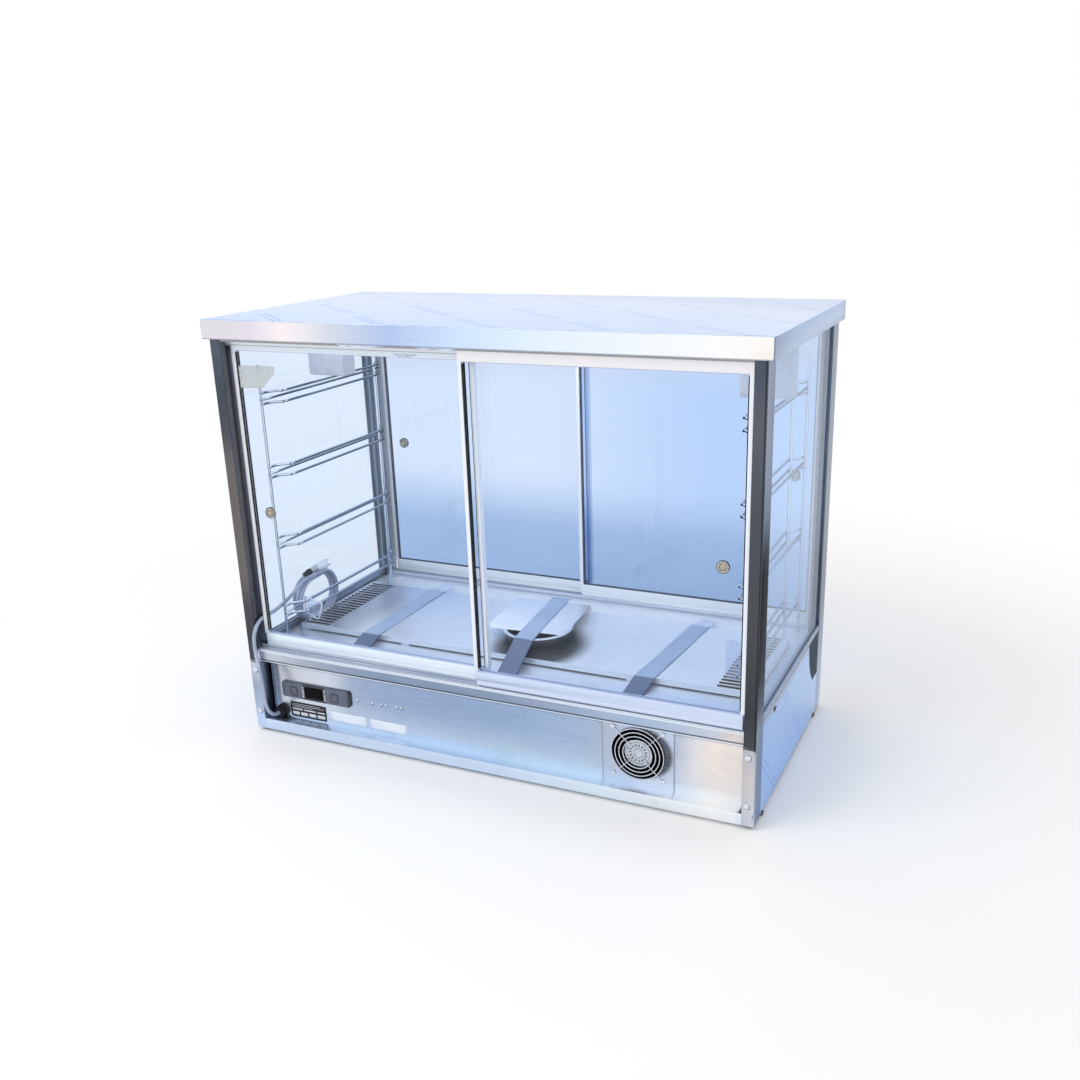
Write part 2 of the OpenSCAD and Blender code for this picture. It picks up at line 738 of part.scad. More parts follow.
// A finger pull is turned from one profile: a rim on each face and a cup let into the glass.
module door_pull(px, pz) translate([px, glass_y + glass_t / 2, pz]) facing_front()
    rotate_extrude($fn = 64) difference() {
        union() {
            translate([0, -glass_t / 2 - 1.4]) square([pull_d / 2 - 0.7, glass_t + 2.8]);
            for (z = [-glass_t / 2 - 0.7, glass_t / 2 + 0.7]) translate([pull_d / 2 - 0.7, z]) circle(0.7);
        }
        translate([pull_hole_d / 2 - 0.1, -glass_t / 2]) square([pull_d, glass_t]);
        for (z = [-glass_t / 2 - 2, 0.8])
            translate([-small, z]) square([pull_hole_d / 2 - 2.5, glass_t / 2 + 1.2]);
    }

module front_left() translate([left_door_x, inner_y, door_z]) children();
module front_right() translate([right_door_x, outer_y, door_z]) children();
module rear_left() translate([left_door_x, rear_outer_y, door_z + rear_step]) children();
module rear_right() translate([right_door_x, rear_inner_y, door_z + rear_step]) children();

module front_left_frame() color("ghostwhite") place() front_left() door_frame(door_h);
module front_left_glass() color("lightcyan", 0.3) place() front_left() door_glass(door_h, pull_x, pull_z);
module front_left_seal() color("black") place() front_left() door_seal(door_h);
module front_left_pull() color("silver") place() front_left() door_pull(pull_x, pull_z);

module front_right_frame() color("ghostwhite") place() front_right() door_frame(door_h);
module front_right_glass() color("lightcyan", 0.3) place()
    front_right() door_glass(door_h, door_w - pull_x, pull_z);
module front_right_seal() color("black") place() front_right() door_seal(door_h);
module front_right_pull() color("silver") place() front_right() door_pull(door_w - pull_x, pull_z);

module rear_left_frame() color("ghostwhite") place() rear_left() door_frame(rear_door_h);
module rear_left_glass() color("lightcyan", 0.3) place()
    rear_left() door_glass(rear_door_h, pull_x, pull_z + rear_pull_up);
module rear_left_seal() color("black") place() rear_left() door_seal(rear_door_h);
module rear_left_pull() color("silver") place() rear_left() door_pull(pull_x, pull_z + rear_pull_up);

module rear_right_frame() color("ghostwhite") place() rear_right() door_frame(rear_door_h);
module rear_right_glass() color("lightcyan", 0.3) place()
    rear_right() door_glass(rear_door_h, door_w - pull_x, pull_z + rear_pull_up);
module rear_right_seal() color("black") place() rear_right() door_seal(rear_door_h);
module rear_right_pull() color("silver") place()
    rear_right() door_pull(door_w - pull_x, pull_z + rear_pull_up);

// ---------- racks ----------

rack_back = slab_d - rack_rear;
wire_x = rack_x + rod_d / 2 + wire_d / 2 + 0.2;      // wires pass the uprights on their inner side
guide_x = rack_x + guide_in;
leg_x = guide_x - wire_d / 2 - rod_d / 2 - 0.2;
leg_y = rack_back - 40;
rod_top = deck_h + rack_first + (rack_levels - 1) * rack_pitch + 60;

// A guide wire leaves the front upright, jogs inwards, runs back and jogs out again.
function guide_path(z) = [
    [wire_x, rack_front - 6, z], [wire_x, rack_front + 16, z], [wire_x + 1.5, rack_front + 21, z],
    [wire_x + 5, rack_front + 26, z], [guide_x - 4, rack_front + 38, z],
    [guide_x - 1, rack_front + 42, z], [guide_x, rack_front + 48, z],
    [guide_x, rack_back - 36, z], [guide_x - 1, rack_back - 30, z], [guide_x - 4, rack_back - 26, z],
    [wire_x + 5, rack_back - 14, z], [wire_x + 1.5, rack_back - 9, z],
    [wire_x, rack_back - 4, z], [wire_x, rack_back + 6, z]
];

module rack() {
    for (y = [rack_front, rack_back])
        translate([rack_x, y, deck_h]) cylinder(d = rod_d, h = rod_top - deck_h);
    translate([leg_x, leg_y, deck_h]) cylinder(d = rod_d, h = rod_top - deck_h);
    for (i = [0:rack_levels - 1]) {
        z = deck_h + rack_first + i * rack_pitch;
        tube(guide_path(z), wire_d);
        tube(guide_path(z - rack_slot), wire_d);
        translate([wire_x, rack_back + 6, z - rack_slot * 0.6]) facing_front()
            cylinder(d = wire_d, h = rack_back - rack_front + 12);
    }
}

module rack_left() color("silver") place() rack();
module rack_right() color("silver") place() at_right() rack();

// ---------- heating and electrics ----------

element_d = 8;
element_l = 300;
element_inset = 110;
element_run = 44;

// A heating element: four straight runs of tube joined by true bends.
module heating_element() {
    for (i = [0:3]) translate([0, i * element_run, 0]) rotate([0, 90, 0])
        cylinder(d = element_d, h = element_l);
    for (i = [0:2]) translate([i % 2 == 0 ? element_l : 0, (i + 0.5) * element_run, 0])
        rotate([0, 0, i % 2 == 0 ? -90 : 90]) rotate_extrude(angle = 180)
            translate([element_run / 2, 0]) circle(d = element_d);
}

module heating_elements() color("dimgray") place()
    for (x = [tray_x + element_inset, slab_w - tray_x - element_inset - element_l])
        translate([x, tray_front + 90, deck_h + element_d / 2]) heating_element();

terminal_x = 320;
terminal_y = 120;
terminal_size = [90, 34, 24];

module terminal_block() color("ivory") place() translate([terminal_x, terminal_y, panel_t]) difference() {
    cube(terminal_size);
    for (i = [0:5]) translate([9 + i * 14.4, 17, 14]) cylinder(d = 7, h = 20);
}

// ---------- controller ----------

module controller() color("slategray") place() difference() {
    union() {
        translate([control_x - control_w / 2, panel_y, control_z - control_h / 2]) facing_front()
            linear_extrude(control_t) round_rect(control_w, control_h, 6);
        block([control_x - housing_w / 2, panel_y - small, control_z - housing_h / 2],
              [control_x + housing_w / 2, panel_y + housing_depth, control_z + housing_h / 2]);
    }
    block([control_x - 5 - display_w / 2, panel_y - control_t - 1, control_z - display_h / 2],
          [control_x - 5 + display_w / 2, panel_y - control_t + 1, control_z + display_h / 2]);
    for (x = [button_left_x, button_right_x])
        block([x - button_size / 2 - button_gap, panel_y - control_t - 1,
               control_z - 1.5 - button_size / 2 - button_gap - 1],
              [x + button_size / 2 + button_gap, panel_y - control_t + button_depth + button_travel,
               control_z - 1.5 + button_size / 2 + button_gap + 1]);
}

module controller_display() color("black") place()
    block([control_x - 5 - display_w / 2, panel_y - control_t + 0.2, control_z - display_h / 2],
          [control_x - 5 + display_w / 2, panel_y - control_t + 1, control_z + display_h / 2]);

// A button with a slightly dished face, held off the floor of its pocket.
module button(x) difference() {
    block([x - button_size / 2, panel_y - control_t - 0.5, control_z - 2.5 - button_size / 2],
          [x + button_size / 2, panel_y - control_t + button_depth - 0.1,
           control_z - 0.5 + button_size / 2]);
    translate([x, panel_y - control_t - 0.5, control_z - 1.5]) facing_front()
        translate([0, 0, -0.4]) cylinder(d = button_size * 0.7, h = 2);
}

module button_left() color("darkslategray") place() button(button_left_x);
module button_right() color("darkslategray") place() button(button_right_x);

// ---------- fan ----------

fan_back = panel_y + panel_t;

module fan_frame() color("black") place() difference() {
    union() {
        difference() {
            block([fan_x - fan_size / 2, fan_back, fan_z - fan_size / 2],
                  [fan_x + fan_size / 2, fan_back + fan_depth, fan_z + fan_size / 2]);
            translate([fan_x, fan_back + fan_depth + 1, fan_z]) facing_front()
                cylinder(d = fan_hole_d, h = fan_depth + 2, $fn = 96);
        }
        translate([fan_x, fan_back + 12, fan_z]) facing_front() cylinder(d = fan_hub_d, h = 12);
        for (a = [0, 90]) translate([fan_x, fan_back, fan_z]) rotate([0, a, 0])
            block([-fan_hole_d / 2 - 1, 7, -3], [fan_hole_d / 2 + 1, 11, 3]);
    }
    translate([fan_x, fan_back + 13, fan_z]) facing_front() cylinder(d = fan_bore_d, h = 11);
    fan_holes(fan_back + fan_depth + 1, fan_depth + 2, fan_screw_d);
}

// One blade: a flat plate set at the fan's pitch, with its root inside the hub.
module fan_blade() rotate([0, 0, 38]) translate([-blade_t / 2, -blade_w / 2, fan_hub_d / 2 - 3])
    cube([blade_t, blade_w, fan_hole_d / 2 - fan_hub_d / 2 - 0.5]);

module fan_rotor() color("darkslategray") place() translate([fan_x, fan_back + 14, fan_z]) {
    translate([0, hub_l, 0]) facing_front() cylinder(d = fan_hub_d - 1, h = hub_l);
    translate([0, 1, 0]) facing_front() cylinder(d = fan_bore_d - 2 * shaft_clear, h = 11);
    for (i = [0:fan_blades - 1]) translate([0, 10, 0]) rotate([0, i * 360 / fan_blades, 0]) fan_blade();
}

// The guard: rings of wire, and four legs that end in eyes under the screws.
module fan_guard() color("whitesmoke") place() translate([fan_x, fan_face, fan_z]) {
    for (i = [0:guard_rings - 1]) translate([0, -guard_wire * 1.9, 0]) facing_front()
        rotate_extrude($fn = 96) translate([guard_r0 - i * guard_r_step - guard_wire / 2, 0])
            circle(d = guard_wire, $fn = 16);
    for (a = [45, 135, 225, 315]) rotate([0, a, 0]) {
        translate([guard_leg_r, -guard_wire, 0]) rotate([0, 90, 0])
            cylinder(d = guard_wire, h = fan_pitch / sqrt(2) - guard_leg_r - guard_eye_d / 2 + 1.2,
                     $fn = 16);
        translate([fan_pitch / sqrt(2), 0, 0]) facing_front() difference() {
            cylinder(d = guard_eye_d, h = guard_wire);
            translate([0, 0, -1]) cylinder(d = fan_screw_d, h = guard_wire + 2);
        }
    }
}

// ---------- mains lead ----------

module cord_gland() color("black") place() translate([gland_x, panel_y, gland_z]) facing_front() {
    translate([0, 0, -panel_t - 5]) cylinder(d = gland_d * 0.6, h = panel_t + 5 + small);
    cylinder(d = gland_d, h = 6, $fn = 6);
    translate([0, 0, 6 - small]) cylinder(d = gland_d - 4, h = 5);
    translate([0, 0, 11 - small]) cylinder(d1 = gland_d - 4, d2 = cord_d + 3, h = gland_l - 11);
}

module cord() color("slategray") place() tube(cord_route, cord_d);

// The coil's outer shape: a flat ring with round ends, as wide as its turns side by side.
module racetrack(w, h) {
    translate([h / 2, h / 2]) circle(d = h);
    translate([w - h / 2, h / 2]) circle(d = h);
    translate([h / 2, 0]) square([w - h, h]);
}

module cord_coil() color("slategray") place() translate([0, coil_y0, deck_h + slip])
    along_x(coil_x, coil_x + coil_turns * cord_d) difference() {
        racetrack(coil_w, coil_h);
        translate([cord_d, cord_d]) racetrack(coil_w - 2 * cord_d, coil_h - 2 * cord_d);
    }

// The plug lies on the coil; its strain relief comes up out of the coil's top.
module cord_plug() color("whitesmoke") place() translate([plug_x, plug_y, plug_z]) {
    rotate([-90, 0, 0]) {
        cylinder(d = 22, h = 42);
        translate([0, 0, 42 - small]) cylinder(d = 26, h = 10);
        for (a = [30, 150, 270]) rotate([0, 0, a]) translate([7.5, -0.8, 52 - small])
            rotate([0, 0, a == 270 ? 0 : 30]) cube([1.6, 5, 17]);
    }
    translate([-5, -20, -9.2]) rotate([-65, 0, -14]) cylinder(d1 = cord_d, d2 = 13, h = 23);
}

// ---------- packing ----------

module packing_blocks() color("white") place() {
    block([foam_left_x, foam_left_y, post_h - foam_left_h],
          [foam_left_x + foam_left_w, foam_left_y + foam_d, post_h + sheet_t]);
    block([foam_right_x, foam_right_y, post_h - foam_right_h],
          [foam_right_x + foam_right_w, foam_right_y + foam_d, post_h]);
}

// A strap's side view: the points are its underside, from front to rear.
module strap(x, y, turn, under) translate([x, y, 0]) rotate([0, 0, turn]) along_x(-strap_w / 2, strap_w / 2)
    polygon(concat(under, [for (i = [len(under) - 1:-1:0]) under[i] + [0, strap_t]]));

// How far the straps reach in front of the tray and behind it, and where the middle strap
// meets the pan's rim and the cover's front edge, as distances behind the tray's front edge.
strap_front = 77;
strap_rear = 56;
strap_mid_x = pan_x + 7.5;
strap_mid_turn = 5.5;
strap_side_turn = -4.7;
rim_front = pan_y - pan_d / 2 - pan_rim - tray_front;
edge_front = cover_front - tray_front;

module packing_straps() color("slategray") place() {
    rim_top = cover_z + slip;
    cover_top = rim_top + panel_t;
    plain = [
        [-strap_front, deck_h + slip], [-strap_front / 2, deck_h + 4], [-4, tray_top + slip],
        [tray_d, tray_top + slip], [tray_d + strap_rear / 2, deck_h + 11],
        [tray_d + strap_rear, deck_h + 9]
    ];
    over_cover = [
        [-strap_front, deck_h + slip], [-strap_front + 8, deck_h + 1], [rim_front - 3, rim_top],
        [rim_front + 10, rim_top], [edge_front - 10, cover_top], [edge_front + cover_d + 24, cover_top]
    ];
    strap(strap_left_x, tray_front, 0, plain);
    strap(strap_mid_x, tray_front, strap_mid_turn, over_cover);
    strap(slab_w - strap_right_x, tray_front, strap_side_turn, plain);
}

// ---------- the nodes ----------

top_slab();
ceiling_panel();
post_front_left();
post_front_right();
post_rear_left();
post_rear_right();
side_panel_left();
side_panel_right();
front_panel();
fan_plate();
upper_ledge();
plinth();
base_floor();
rear_panel();
deck();
feet();
bracket_plates();
pan_screws();
air_tray();
water_pan();
pan_cover();
side_glass_left();
side_glass_right();
glass_channels();
top_tracks();
bottom_tracks();
front_left_frame();
front_left_glass();
front_left_seal();
front_left_pull();
front_right_frame();
front_right_glass();
front_right_seal();
front_right_pull();
rear_left_frame();
rear_left_glass();
rear_left_seal();
rear_left_pull();
rear_right_frame();
rear_right_glass();
rear_right_seal();
rear_right_pull();
rack_left();
rack_right();
heating_elements();
terminal_block();
controller();
controller_display();
button_left();
button_right();
panel_rivets();
fan_frame();
fan_rotor();
fan_guard();
cord_gland();
cord();
cord_coil();
cord_plug();
packing_blocks();
packing_straps();
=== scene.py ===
# %% [markdown]
# # A glazed food holding cabinet
# The cabinet's shape is fixed: it was drawn as solids. This notebook dresses that frame.
# The first cell loads it. Sizes below are in millimetres in the cabinet's own frame: x from the slab's left
# edge, y from its front edge and z from the posts' feet. One function turns such a point into Blender's
# metres, and the sizes that finishes need most are read from the frame's boxes.

# %% Load the fixed frame
import json
import math

import bmesh
import bpy
import numpy as np
from mathutils import Matrix, Vector

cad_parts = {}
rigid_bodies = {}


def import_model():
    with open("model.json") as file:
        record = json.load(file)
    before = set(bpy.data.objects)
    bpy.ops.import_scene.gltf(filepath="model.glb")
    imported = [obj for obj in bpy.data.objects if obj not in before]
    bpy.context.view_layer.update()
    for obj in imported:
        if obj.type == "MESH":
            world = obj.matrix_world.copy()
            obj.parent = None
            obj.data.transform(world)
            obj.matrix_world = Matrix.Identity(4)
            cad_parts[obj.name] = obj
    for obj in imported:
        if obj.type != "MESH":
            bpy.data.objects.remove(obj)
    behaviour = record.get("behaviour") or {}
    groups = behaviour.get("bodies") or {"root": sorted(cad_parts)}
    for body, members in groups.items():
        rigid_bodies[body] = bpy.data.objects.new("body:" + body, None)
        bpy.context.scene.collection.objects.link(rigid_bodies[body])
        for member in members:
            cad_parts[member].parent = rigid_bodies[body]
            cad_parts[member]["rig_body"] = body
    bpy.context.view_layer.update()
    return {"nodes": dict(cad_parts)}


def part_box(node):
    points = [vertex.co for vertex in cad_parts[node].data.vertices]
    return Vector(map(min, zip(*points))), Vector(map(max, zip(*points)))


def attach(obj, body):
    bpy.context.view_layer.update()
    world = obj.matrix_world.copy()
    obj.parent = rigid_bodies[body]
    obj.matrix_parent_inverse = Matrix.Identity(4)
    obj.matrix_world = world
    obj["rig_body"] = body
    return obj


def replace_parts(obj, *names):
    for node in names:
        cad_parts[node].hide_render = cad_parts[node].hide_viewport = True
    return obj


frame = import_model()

scene = bpy.context.scene
scene.view_settings.view_transform = "Standard"

slab_low, slab_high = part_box("top_slab")
corner = np.array((slab_low.x, slab_low.y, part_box("post_front_left")[0].z))
slab_w, slab_d = [round(1000 * side) for side in (slab_high - slab_low)[:2]]
post_h = round(1000 * (slab_low.z - corner[2]))
panel_y = round(1000 * (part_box("front_panel")[0].y - corner[1]))


def metres(points):
    """Points in the cabinet's millimetres, as Blender's metres: the frame's corner plus a thousandth."""
    return corner + np.asarray(points, float) / 1000


print("slab", slab_w, "by", slab_d, "mm, posts", post_h, "mm high, panel's face at y", panel_y)

# %% [markdown]
# ## The camera
# A camera is a place, a direction and a lens. This one stands a little to the right of the cabinet and above
# it, at about a tall person's eye height, and leans by a degree and a half. It comes first, together with the
# mains lead, because how far a lead spreads is judged from what the camera sees.

# %% Camera
eye = Vector((1.0486, -2.1319, 1.1863))
aim = Vector((0.2124, -0.3000, 0.4931))
lean = math.radians(-1.55)
back = (eye - aim).normalized()
right = Vector((0, 0, 1)).cross(back).normalized()
up = back.cross(right)
right, up = right * math.cos(lean) + up * math.sin(lean), up * math.cos(lean) - right * math.sin(lean)
camera = bpy.data.objects.new("camera", bpy.data.cameras.new("camera"))
camera.matrix_world = Matrix((
    (right.x, up.x, back.x, eye.x),
    (right.y, up.y, back.y, eye.y),
    (right.z, up.z, back.z, eye.z),
    (0, 0, 0, 1),
))
camera.data.sensor_width = 36
camera.data.lens = 37.44
camera.data.shift_x = -0.0239
camera.data.shift_y = 0.0261
scene.collection.objects.link(camera)
scene.camera = camera
print("camera stands", round((eye - aim).length, 3), "m from where it aims")

# %% [markdown]
# ## Surfaces as grids of points
# A new piece is a grid of points worked out with numpy: a function of two parameters gives all the points at
# once, and one helper turns the grid into a mesh. Doubled points, as at a pole, are merged, and the faces of
# a closed shape are turned outwards.

# %% Grid, tube, lathe and leaf
def new_piece(name, work, smooth=True):
    """Turns a bmesh's faces outwards and makes it an object in the scene."""
    bmesh.ops.recalc_face_normals(work, faces=work.faces)
    mesh = bpy.data.meshes.new(name)
    work.to_mesh(mesh)
    work.free()
    mesh.polygons.foreach_set("use_smooth", np.full(len(mesh.polygons), smooth))
    piece = bpy.data.objects.new(name, mesh)
    scene.collection.objects.link(piece)
    return piece


def grid_piece(name, grid, wrap_rows=False, wrap_columns=False, close_ends=False, smooth=True):
    """A mesh from a (rows, columns, 3) grid in millimetres: each cell is a face, and a wrapped side joins
    its far side. Closed ends get one flat face each."""
    rows, columns = grid.shape[:2]
    i = np.arange(rows if wrap_rows else rows - 1)[:, None]
    j = np.arange(columns if wrap_columns else columns - 1)[None, :]
    low, high, ahead = i * columns, ((i + 1) % rows) * columns, (j + 1) % columns
    faces = np.stack([low + j, low + ahead, high + ahead, high + j], -1).reshape(-1, 4).tolist()
    if close_ends:
        faces += [list(range(columns))[::-1], [(rows - 1) * columns + k for k in range(columns)]]
    rough = bpy.data.meshes.new("rough")
    rough.from_pydata(metres(grid.reshape(-1, 3)).tolist(), [], faces)
    work = bmesh.new()
    work.from_mesh(rough)
    bpy.data.meshes.remove(rough)
    bmesh.ops.remove_doubles(work, verts=work.verts, dist=2e-6)
    return new_piece(name, work, smooth)


def unit(vectors):
    """Each vector of an array at length 1."""
    return vectors / np.linalg.norm(vectors, axis=-1, keepdims=True)


def step(value, low, high):
    """0 below low, 1 above high, and 3t^2 - 2t^3 between them."""
    t = np.clip((np.asarray(value, float) - low) / (high - low), 0, 1)
    return t * t * (3 - 2 * t)


def around(count):
    """Angles evenly spaced once round a circle."""
    return np.linspace(0, 2 * np.pi, count, endpoint=False)


def xyz(x, y, z):
    """Three arrays or numbers, stretched over each other, as one array of points."""
    return np.stack(np.broadcast_arrays(x, y, z), -1)


def smooth_path(points, spacing):
    """A curve through given points: between two of them it's the cubic whose slope at a point is half
    the way from the point before to the point after, read about every spacing millimetres."""
    p = np.array(points, float)
    slopes = np.gradient(p, axis=0)
    counts = np.maximum(2, np.ceil(np.linalg.norm(np.diff(p, axis=0), axis=1) / spacing).astype(int))
    which = np.repeat(np.arange(len(counts)), counts)
    first = np.repeat(np.cumsum(counts) - counts, counts)
    t = ((np.arange(counts.sum()) - first) / np.repeat(counts, counts))[:, None]
    a, b, u, v = p[which], p[which + 1], slopes[which], slopes[which + 1]
    curve = (2 * t**3 - 3 * t**2 + 1) * a + (t**3 - 2 * t**2 + t) * u
    curve += (3 * t**2 - 2 * t**3) * b + (t**3 - t**2) * v
    return np.vstack([curve, p[-1:]])


def tube_piece(name, path, radius, sides=12, across=(1, 0.05, 0.03), loop=False):
    """A circle carried along a path: at each point it stands square to the path, turned from one fixed
    direction. The radius may change along the path, and a loop joins its own start."""
    path = np.asarray(path, float)
    if loop:
        ahead = unit(np.roll(path, -1, axis=0) - np.roll(path, 1, axis=0))
    else:
        ahead = unit(np.gradient(path, axis=0))
    side = unit(np.cross(ahead, np.array(across, float)))
    level = np.cross(side, ahead)
    angle = around(sides)[None, :, None]
    radius = np.broadcast_to(np.asarray(radius, float), len(path))[:, None, None]
    grid = path[:, None] + radius * (np.cos(angle) * side[:, None] + np.sin(angle) * level[:, None])
    return grid_piece(name, grid, wrap_rows=loop, wrap_columns=True, close_ends=not loop)


def hoop(name, centre, wide, high, thick, sides, count, square=0.0):
    """A closed tube that faces the front: an oval with one radius across and one up. Each radius is divided
    by a power of the larger of the angle's cosine and sine, so a power near 1 turns the oval into a square."""
    a = around(count)
    bulge = np.maximum(np.abs(np.cos(a)), np.abs(np.sin(a))) ** -square
    path = xyz(centre[0] + wide * bulge * np.cos(a), centre[1], centre[2] + high * bulge * np.sin(a))
    return tube_piece(name, path, thick, sides=sides, across=(0, 1, 0), loop=True)


def lathe_piece(name, centre, axis, profile, sides=48, smooth=True):
    """A profile of (height along the axis, radius) pairs carried round an axis through centre."""
    axis = unit(np.array(axis, float))
    side = unit(np.cross(axis, (0.31, 0.52, 0.79)))
    level = np.cross(axis, side)
    angle = around(sides)[None, :, None]
    profile = np.array(profile, float)[:, None, :]
    spoke = np.cos(angle) * side + np.sin(angle) * level
    grid = np.array(centre, float) + profile[..., :1] * axis + profile[..., 1:] * spoke
    return grid_piece(name, grid, wrap_columns=True, close_ends=True, smooth=smooth)


def leaf_piece(name, grid, thickness):
    """A thin closed sheet about a grid: each point moves half the thickness along the surface's normal, up
    for one side and down for the other, and the two sides meet all round the edge."""
    normal = unit(np.cross(np.gradient(grid, axis=0), np.gradient(grid, axis=1)))
    above, below = grid + normal * thickness / 2, grid - normal * thickness / 2
    return grid_piece(name, np.hstack([above, below[:, ::-1]]), wrap_columns=True, close_ends=True)


def joined(name, parts):
    """Several new pieces made one, for what is one thing on the real object."""
    bpy.ops.object.select_all(action="DESELECT")
    for part in parts:
        part.select_set(True)
    bpy.context.view_layer.objects.active = parts[0]
    bpy.ops.object.join()
    parts[0].name = parts[0].data.name = name
    return parts[0]


# %% [markdown]
# ## Shader maths as plain Python
# A material is a small graph of nodes. Written out by hand it takes many lines, so one class wraps a node's
# output and lets + - * / ** on it add Math nodes. Any other node comes from its one method, node().

# %% One class for shader values
def colour(red, green, blue):
    """A colour in steps from 0 to 255, as the linear values that shaders use."""
    steps = np.array((red, green, blue), float) / 255
    linear = np.where(steps <= 0.04045, steps / 12.92, ((steps + 0.055) / 1.055) ** 2.4)
    return (*[float(v) for v in linear], 1.0)


class Tone:
    """One output socket in a material's node tree, used like a number."""

    def __init__(self, tree, socket=None):
        self.tree, self.socket = tree, socket

    def node(self, kind, settings=None, sockets=None, out=0):
        """Adds a node of a kind, sets its settings, then fills its sockets with values or other Tones."""
        made = self.tree.nodes.new("ShaderNode" + kind)
        for name, value in (settings or {}).items():
            if name == "stops":
                elements = made.color_ramp.elements
                for at, _ in value[2:]:
                    elements.new(at)
                for element, (at, rgb) in zip(elements, value):
                    element.position, element.color = at, colour(*rgb)
            else:
                setattr(made, name, value)
        for name, value in (sockets or {}).items():
            if isinstance(value, Tone):
                self.tree.links.new(value.socket, made.inputs[name])
            else:
                made.inputs[name].default_value = value
        return Tone(self.tree, made.outputs[out] if made.outputs else None)

    def maths(self, operation, first, second=0.0):
        return self.node("Math", {"operation": operation}, {0: first, 1: second})

    def __add__(self, other):
        return self.maths("ADD", self, other)

    def __sub__(self, other):
        return self.maths("SUBTRACT", self, other)

    def __rsub__(self, other):
        return self.maths("SUBTRACT", other, self)

    def __mul__(self, other):
        return self.maths("MULTIPLY", self, other)

    def __truediv__(self, other):
        return self.maths("DIVIDE", self, other)

    def __pow__(self, other):
        return self.maths("POWER", self, other)

    __radd__, __rmul__ = __add__, __mul__

    def wrap(self, period):
        """The value's place within a repeat."""
        return self.node("Math", {"operation": "WRAP"}, {0: self, 1: period, 2: 0.0})

    def reach(self, other):
        """How far the point of this value and the other lies from zero."""
        return self.maths("SQRT", self * self + other * other)

    def rise(self, low, high):
        """0 below low, 1 above high, and a smooth step between them."""
        return self.node("MapRange", {"interpolation_type": "SMOOTHSTEP"}, {0: self, 1: low, 2: high})

    def within(self, low, high, soft=0.4):
        """1 between low and high and 0 outside, with soft edges."""
        return self.rise(low - soft, low + soft) * (1 - self.rise(high - soft, high + soft))

    def either(self, other):
        """The larger of two masks."""
        return self.maths("MAXIMUM", self, other)

    def ramp(self, stops):
        """A colour that runs along the value through stops of (value, colour in steps from 0 to 255)."""
        return self.node("ValToRGB", {"stops": stops}, {0: self})

    def blend(self, first, second):
        """The mix of two colours by this value, each a Tone or (red, green, blue) in steps to 255."""
        first, second = [shade if isinstance(shade, Tone) else colour(*shade) for shade in (first, second)]
        return self.node("Mix", {"data_type": "RGBA"}, {0: self, 6: first, 7: second}, out=2)


class Finish:
    """A material that is being made: where its patterns are measured, and its shader at the end."""

    def __init__(self, name):
        self.material = bpy.data.materials.new(name)
        self.material.use_nodes = True
        tree = self.material.node_tree
        tree.nodes.clear()
        self.node, self.maths = Tone(tree).node, Tone(tree).maths
        self.spot = self.node("TexCoord", out=3)
        middle = self.node("VectorMath", {"operation": "SUBTRACT"}, {0: self.spot, 1: tuple(corner)})
        grown = self.node("VectorMath", {"operation": "SCALE"}, {0: middle, "Scale": 1000.0})
        self.x, self.y, self.z = [self.node("SeparateXYZ", None, {0: grown}, out=k) for k in range(3)]

    def noise(self, scale, detail=3.0, rough=0.5, stretch=(1, 1, 1), turn=(0, 0, 0)):
        """Cloudy noise from 0 to 1, scale clouds to a metre, drawn out along an axis where stretch is low."""
        moved = self.node("Mapping", None, {0: self.spot, "Rotation": turn, "Scale": stretch})
        return self.node("TexNoise", None, {
            "Vector": moved, "Scale": scale, "Detail": detail, "Roughness": rough,
        })

    def bump(self, height, strength, distance=0.0004):
        """A normal that tilts with a height."""
        return self.node("Bump", None, {"Height": height, "Strength": strength, "Distance": distance})

    def mixed(self, share, first, second):
        """A shader that goes from the first to the second as a share goes from 0 to 1."""
        return self.node("MixShader", None, {0: share, 1: first, 2: second})

    def shown(self, shader):
        """Ends in a shader."""
        self.node("OutputMaterial", None, {0: shader})
        return self.material

    def done(self, **sockets):
        """Ends in a Principled shader; _ stands for the space in a socket's name."""
        named = {name.replace("_", " "): value for name, value in sockets.items()}
        return self.shown(self.node("BsdfPrincipled", None, named))


def paint(piece, material):
    """Gives a piece one material."""
    piece.data.materials.clear()
    piece.data.materials.append(material)
    return piece


def finished(piece, material, body):
    """Paints a piece and makes it ride on a body."""
    paint(piece, material)
    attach(piece, body)
    return piece


def dress(material, nodes):
    """Puts a material on CAD nodes, named in one line, whose shape stays as it is."""
    for node in nodes.split():
        paint(frame["nodes"][node], material)
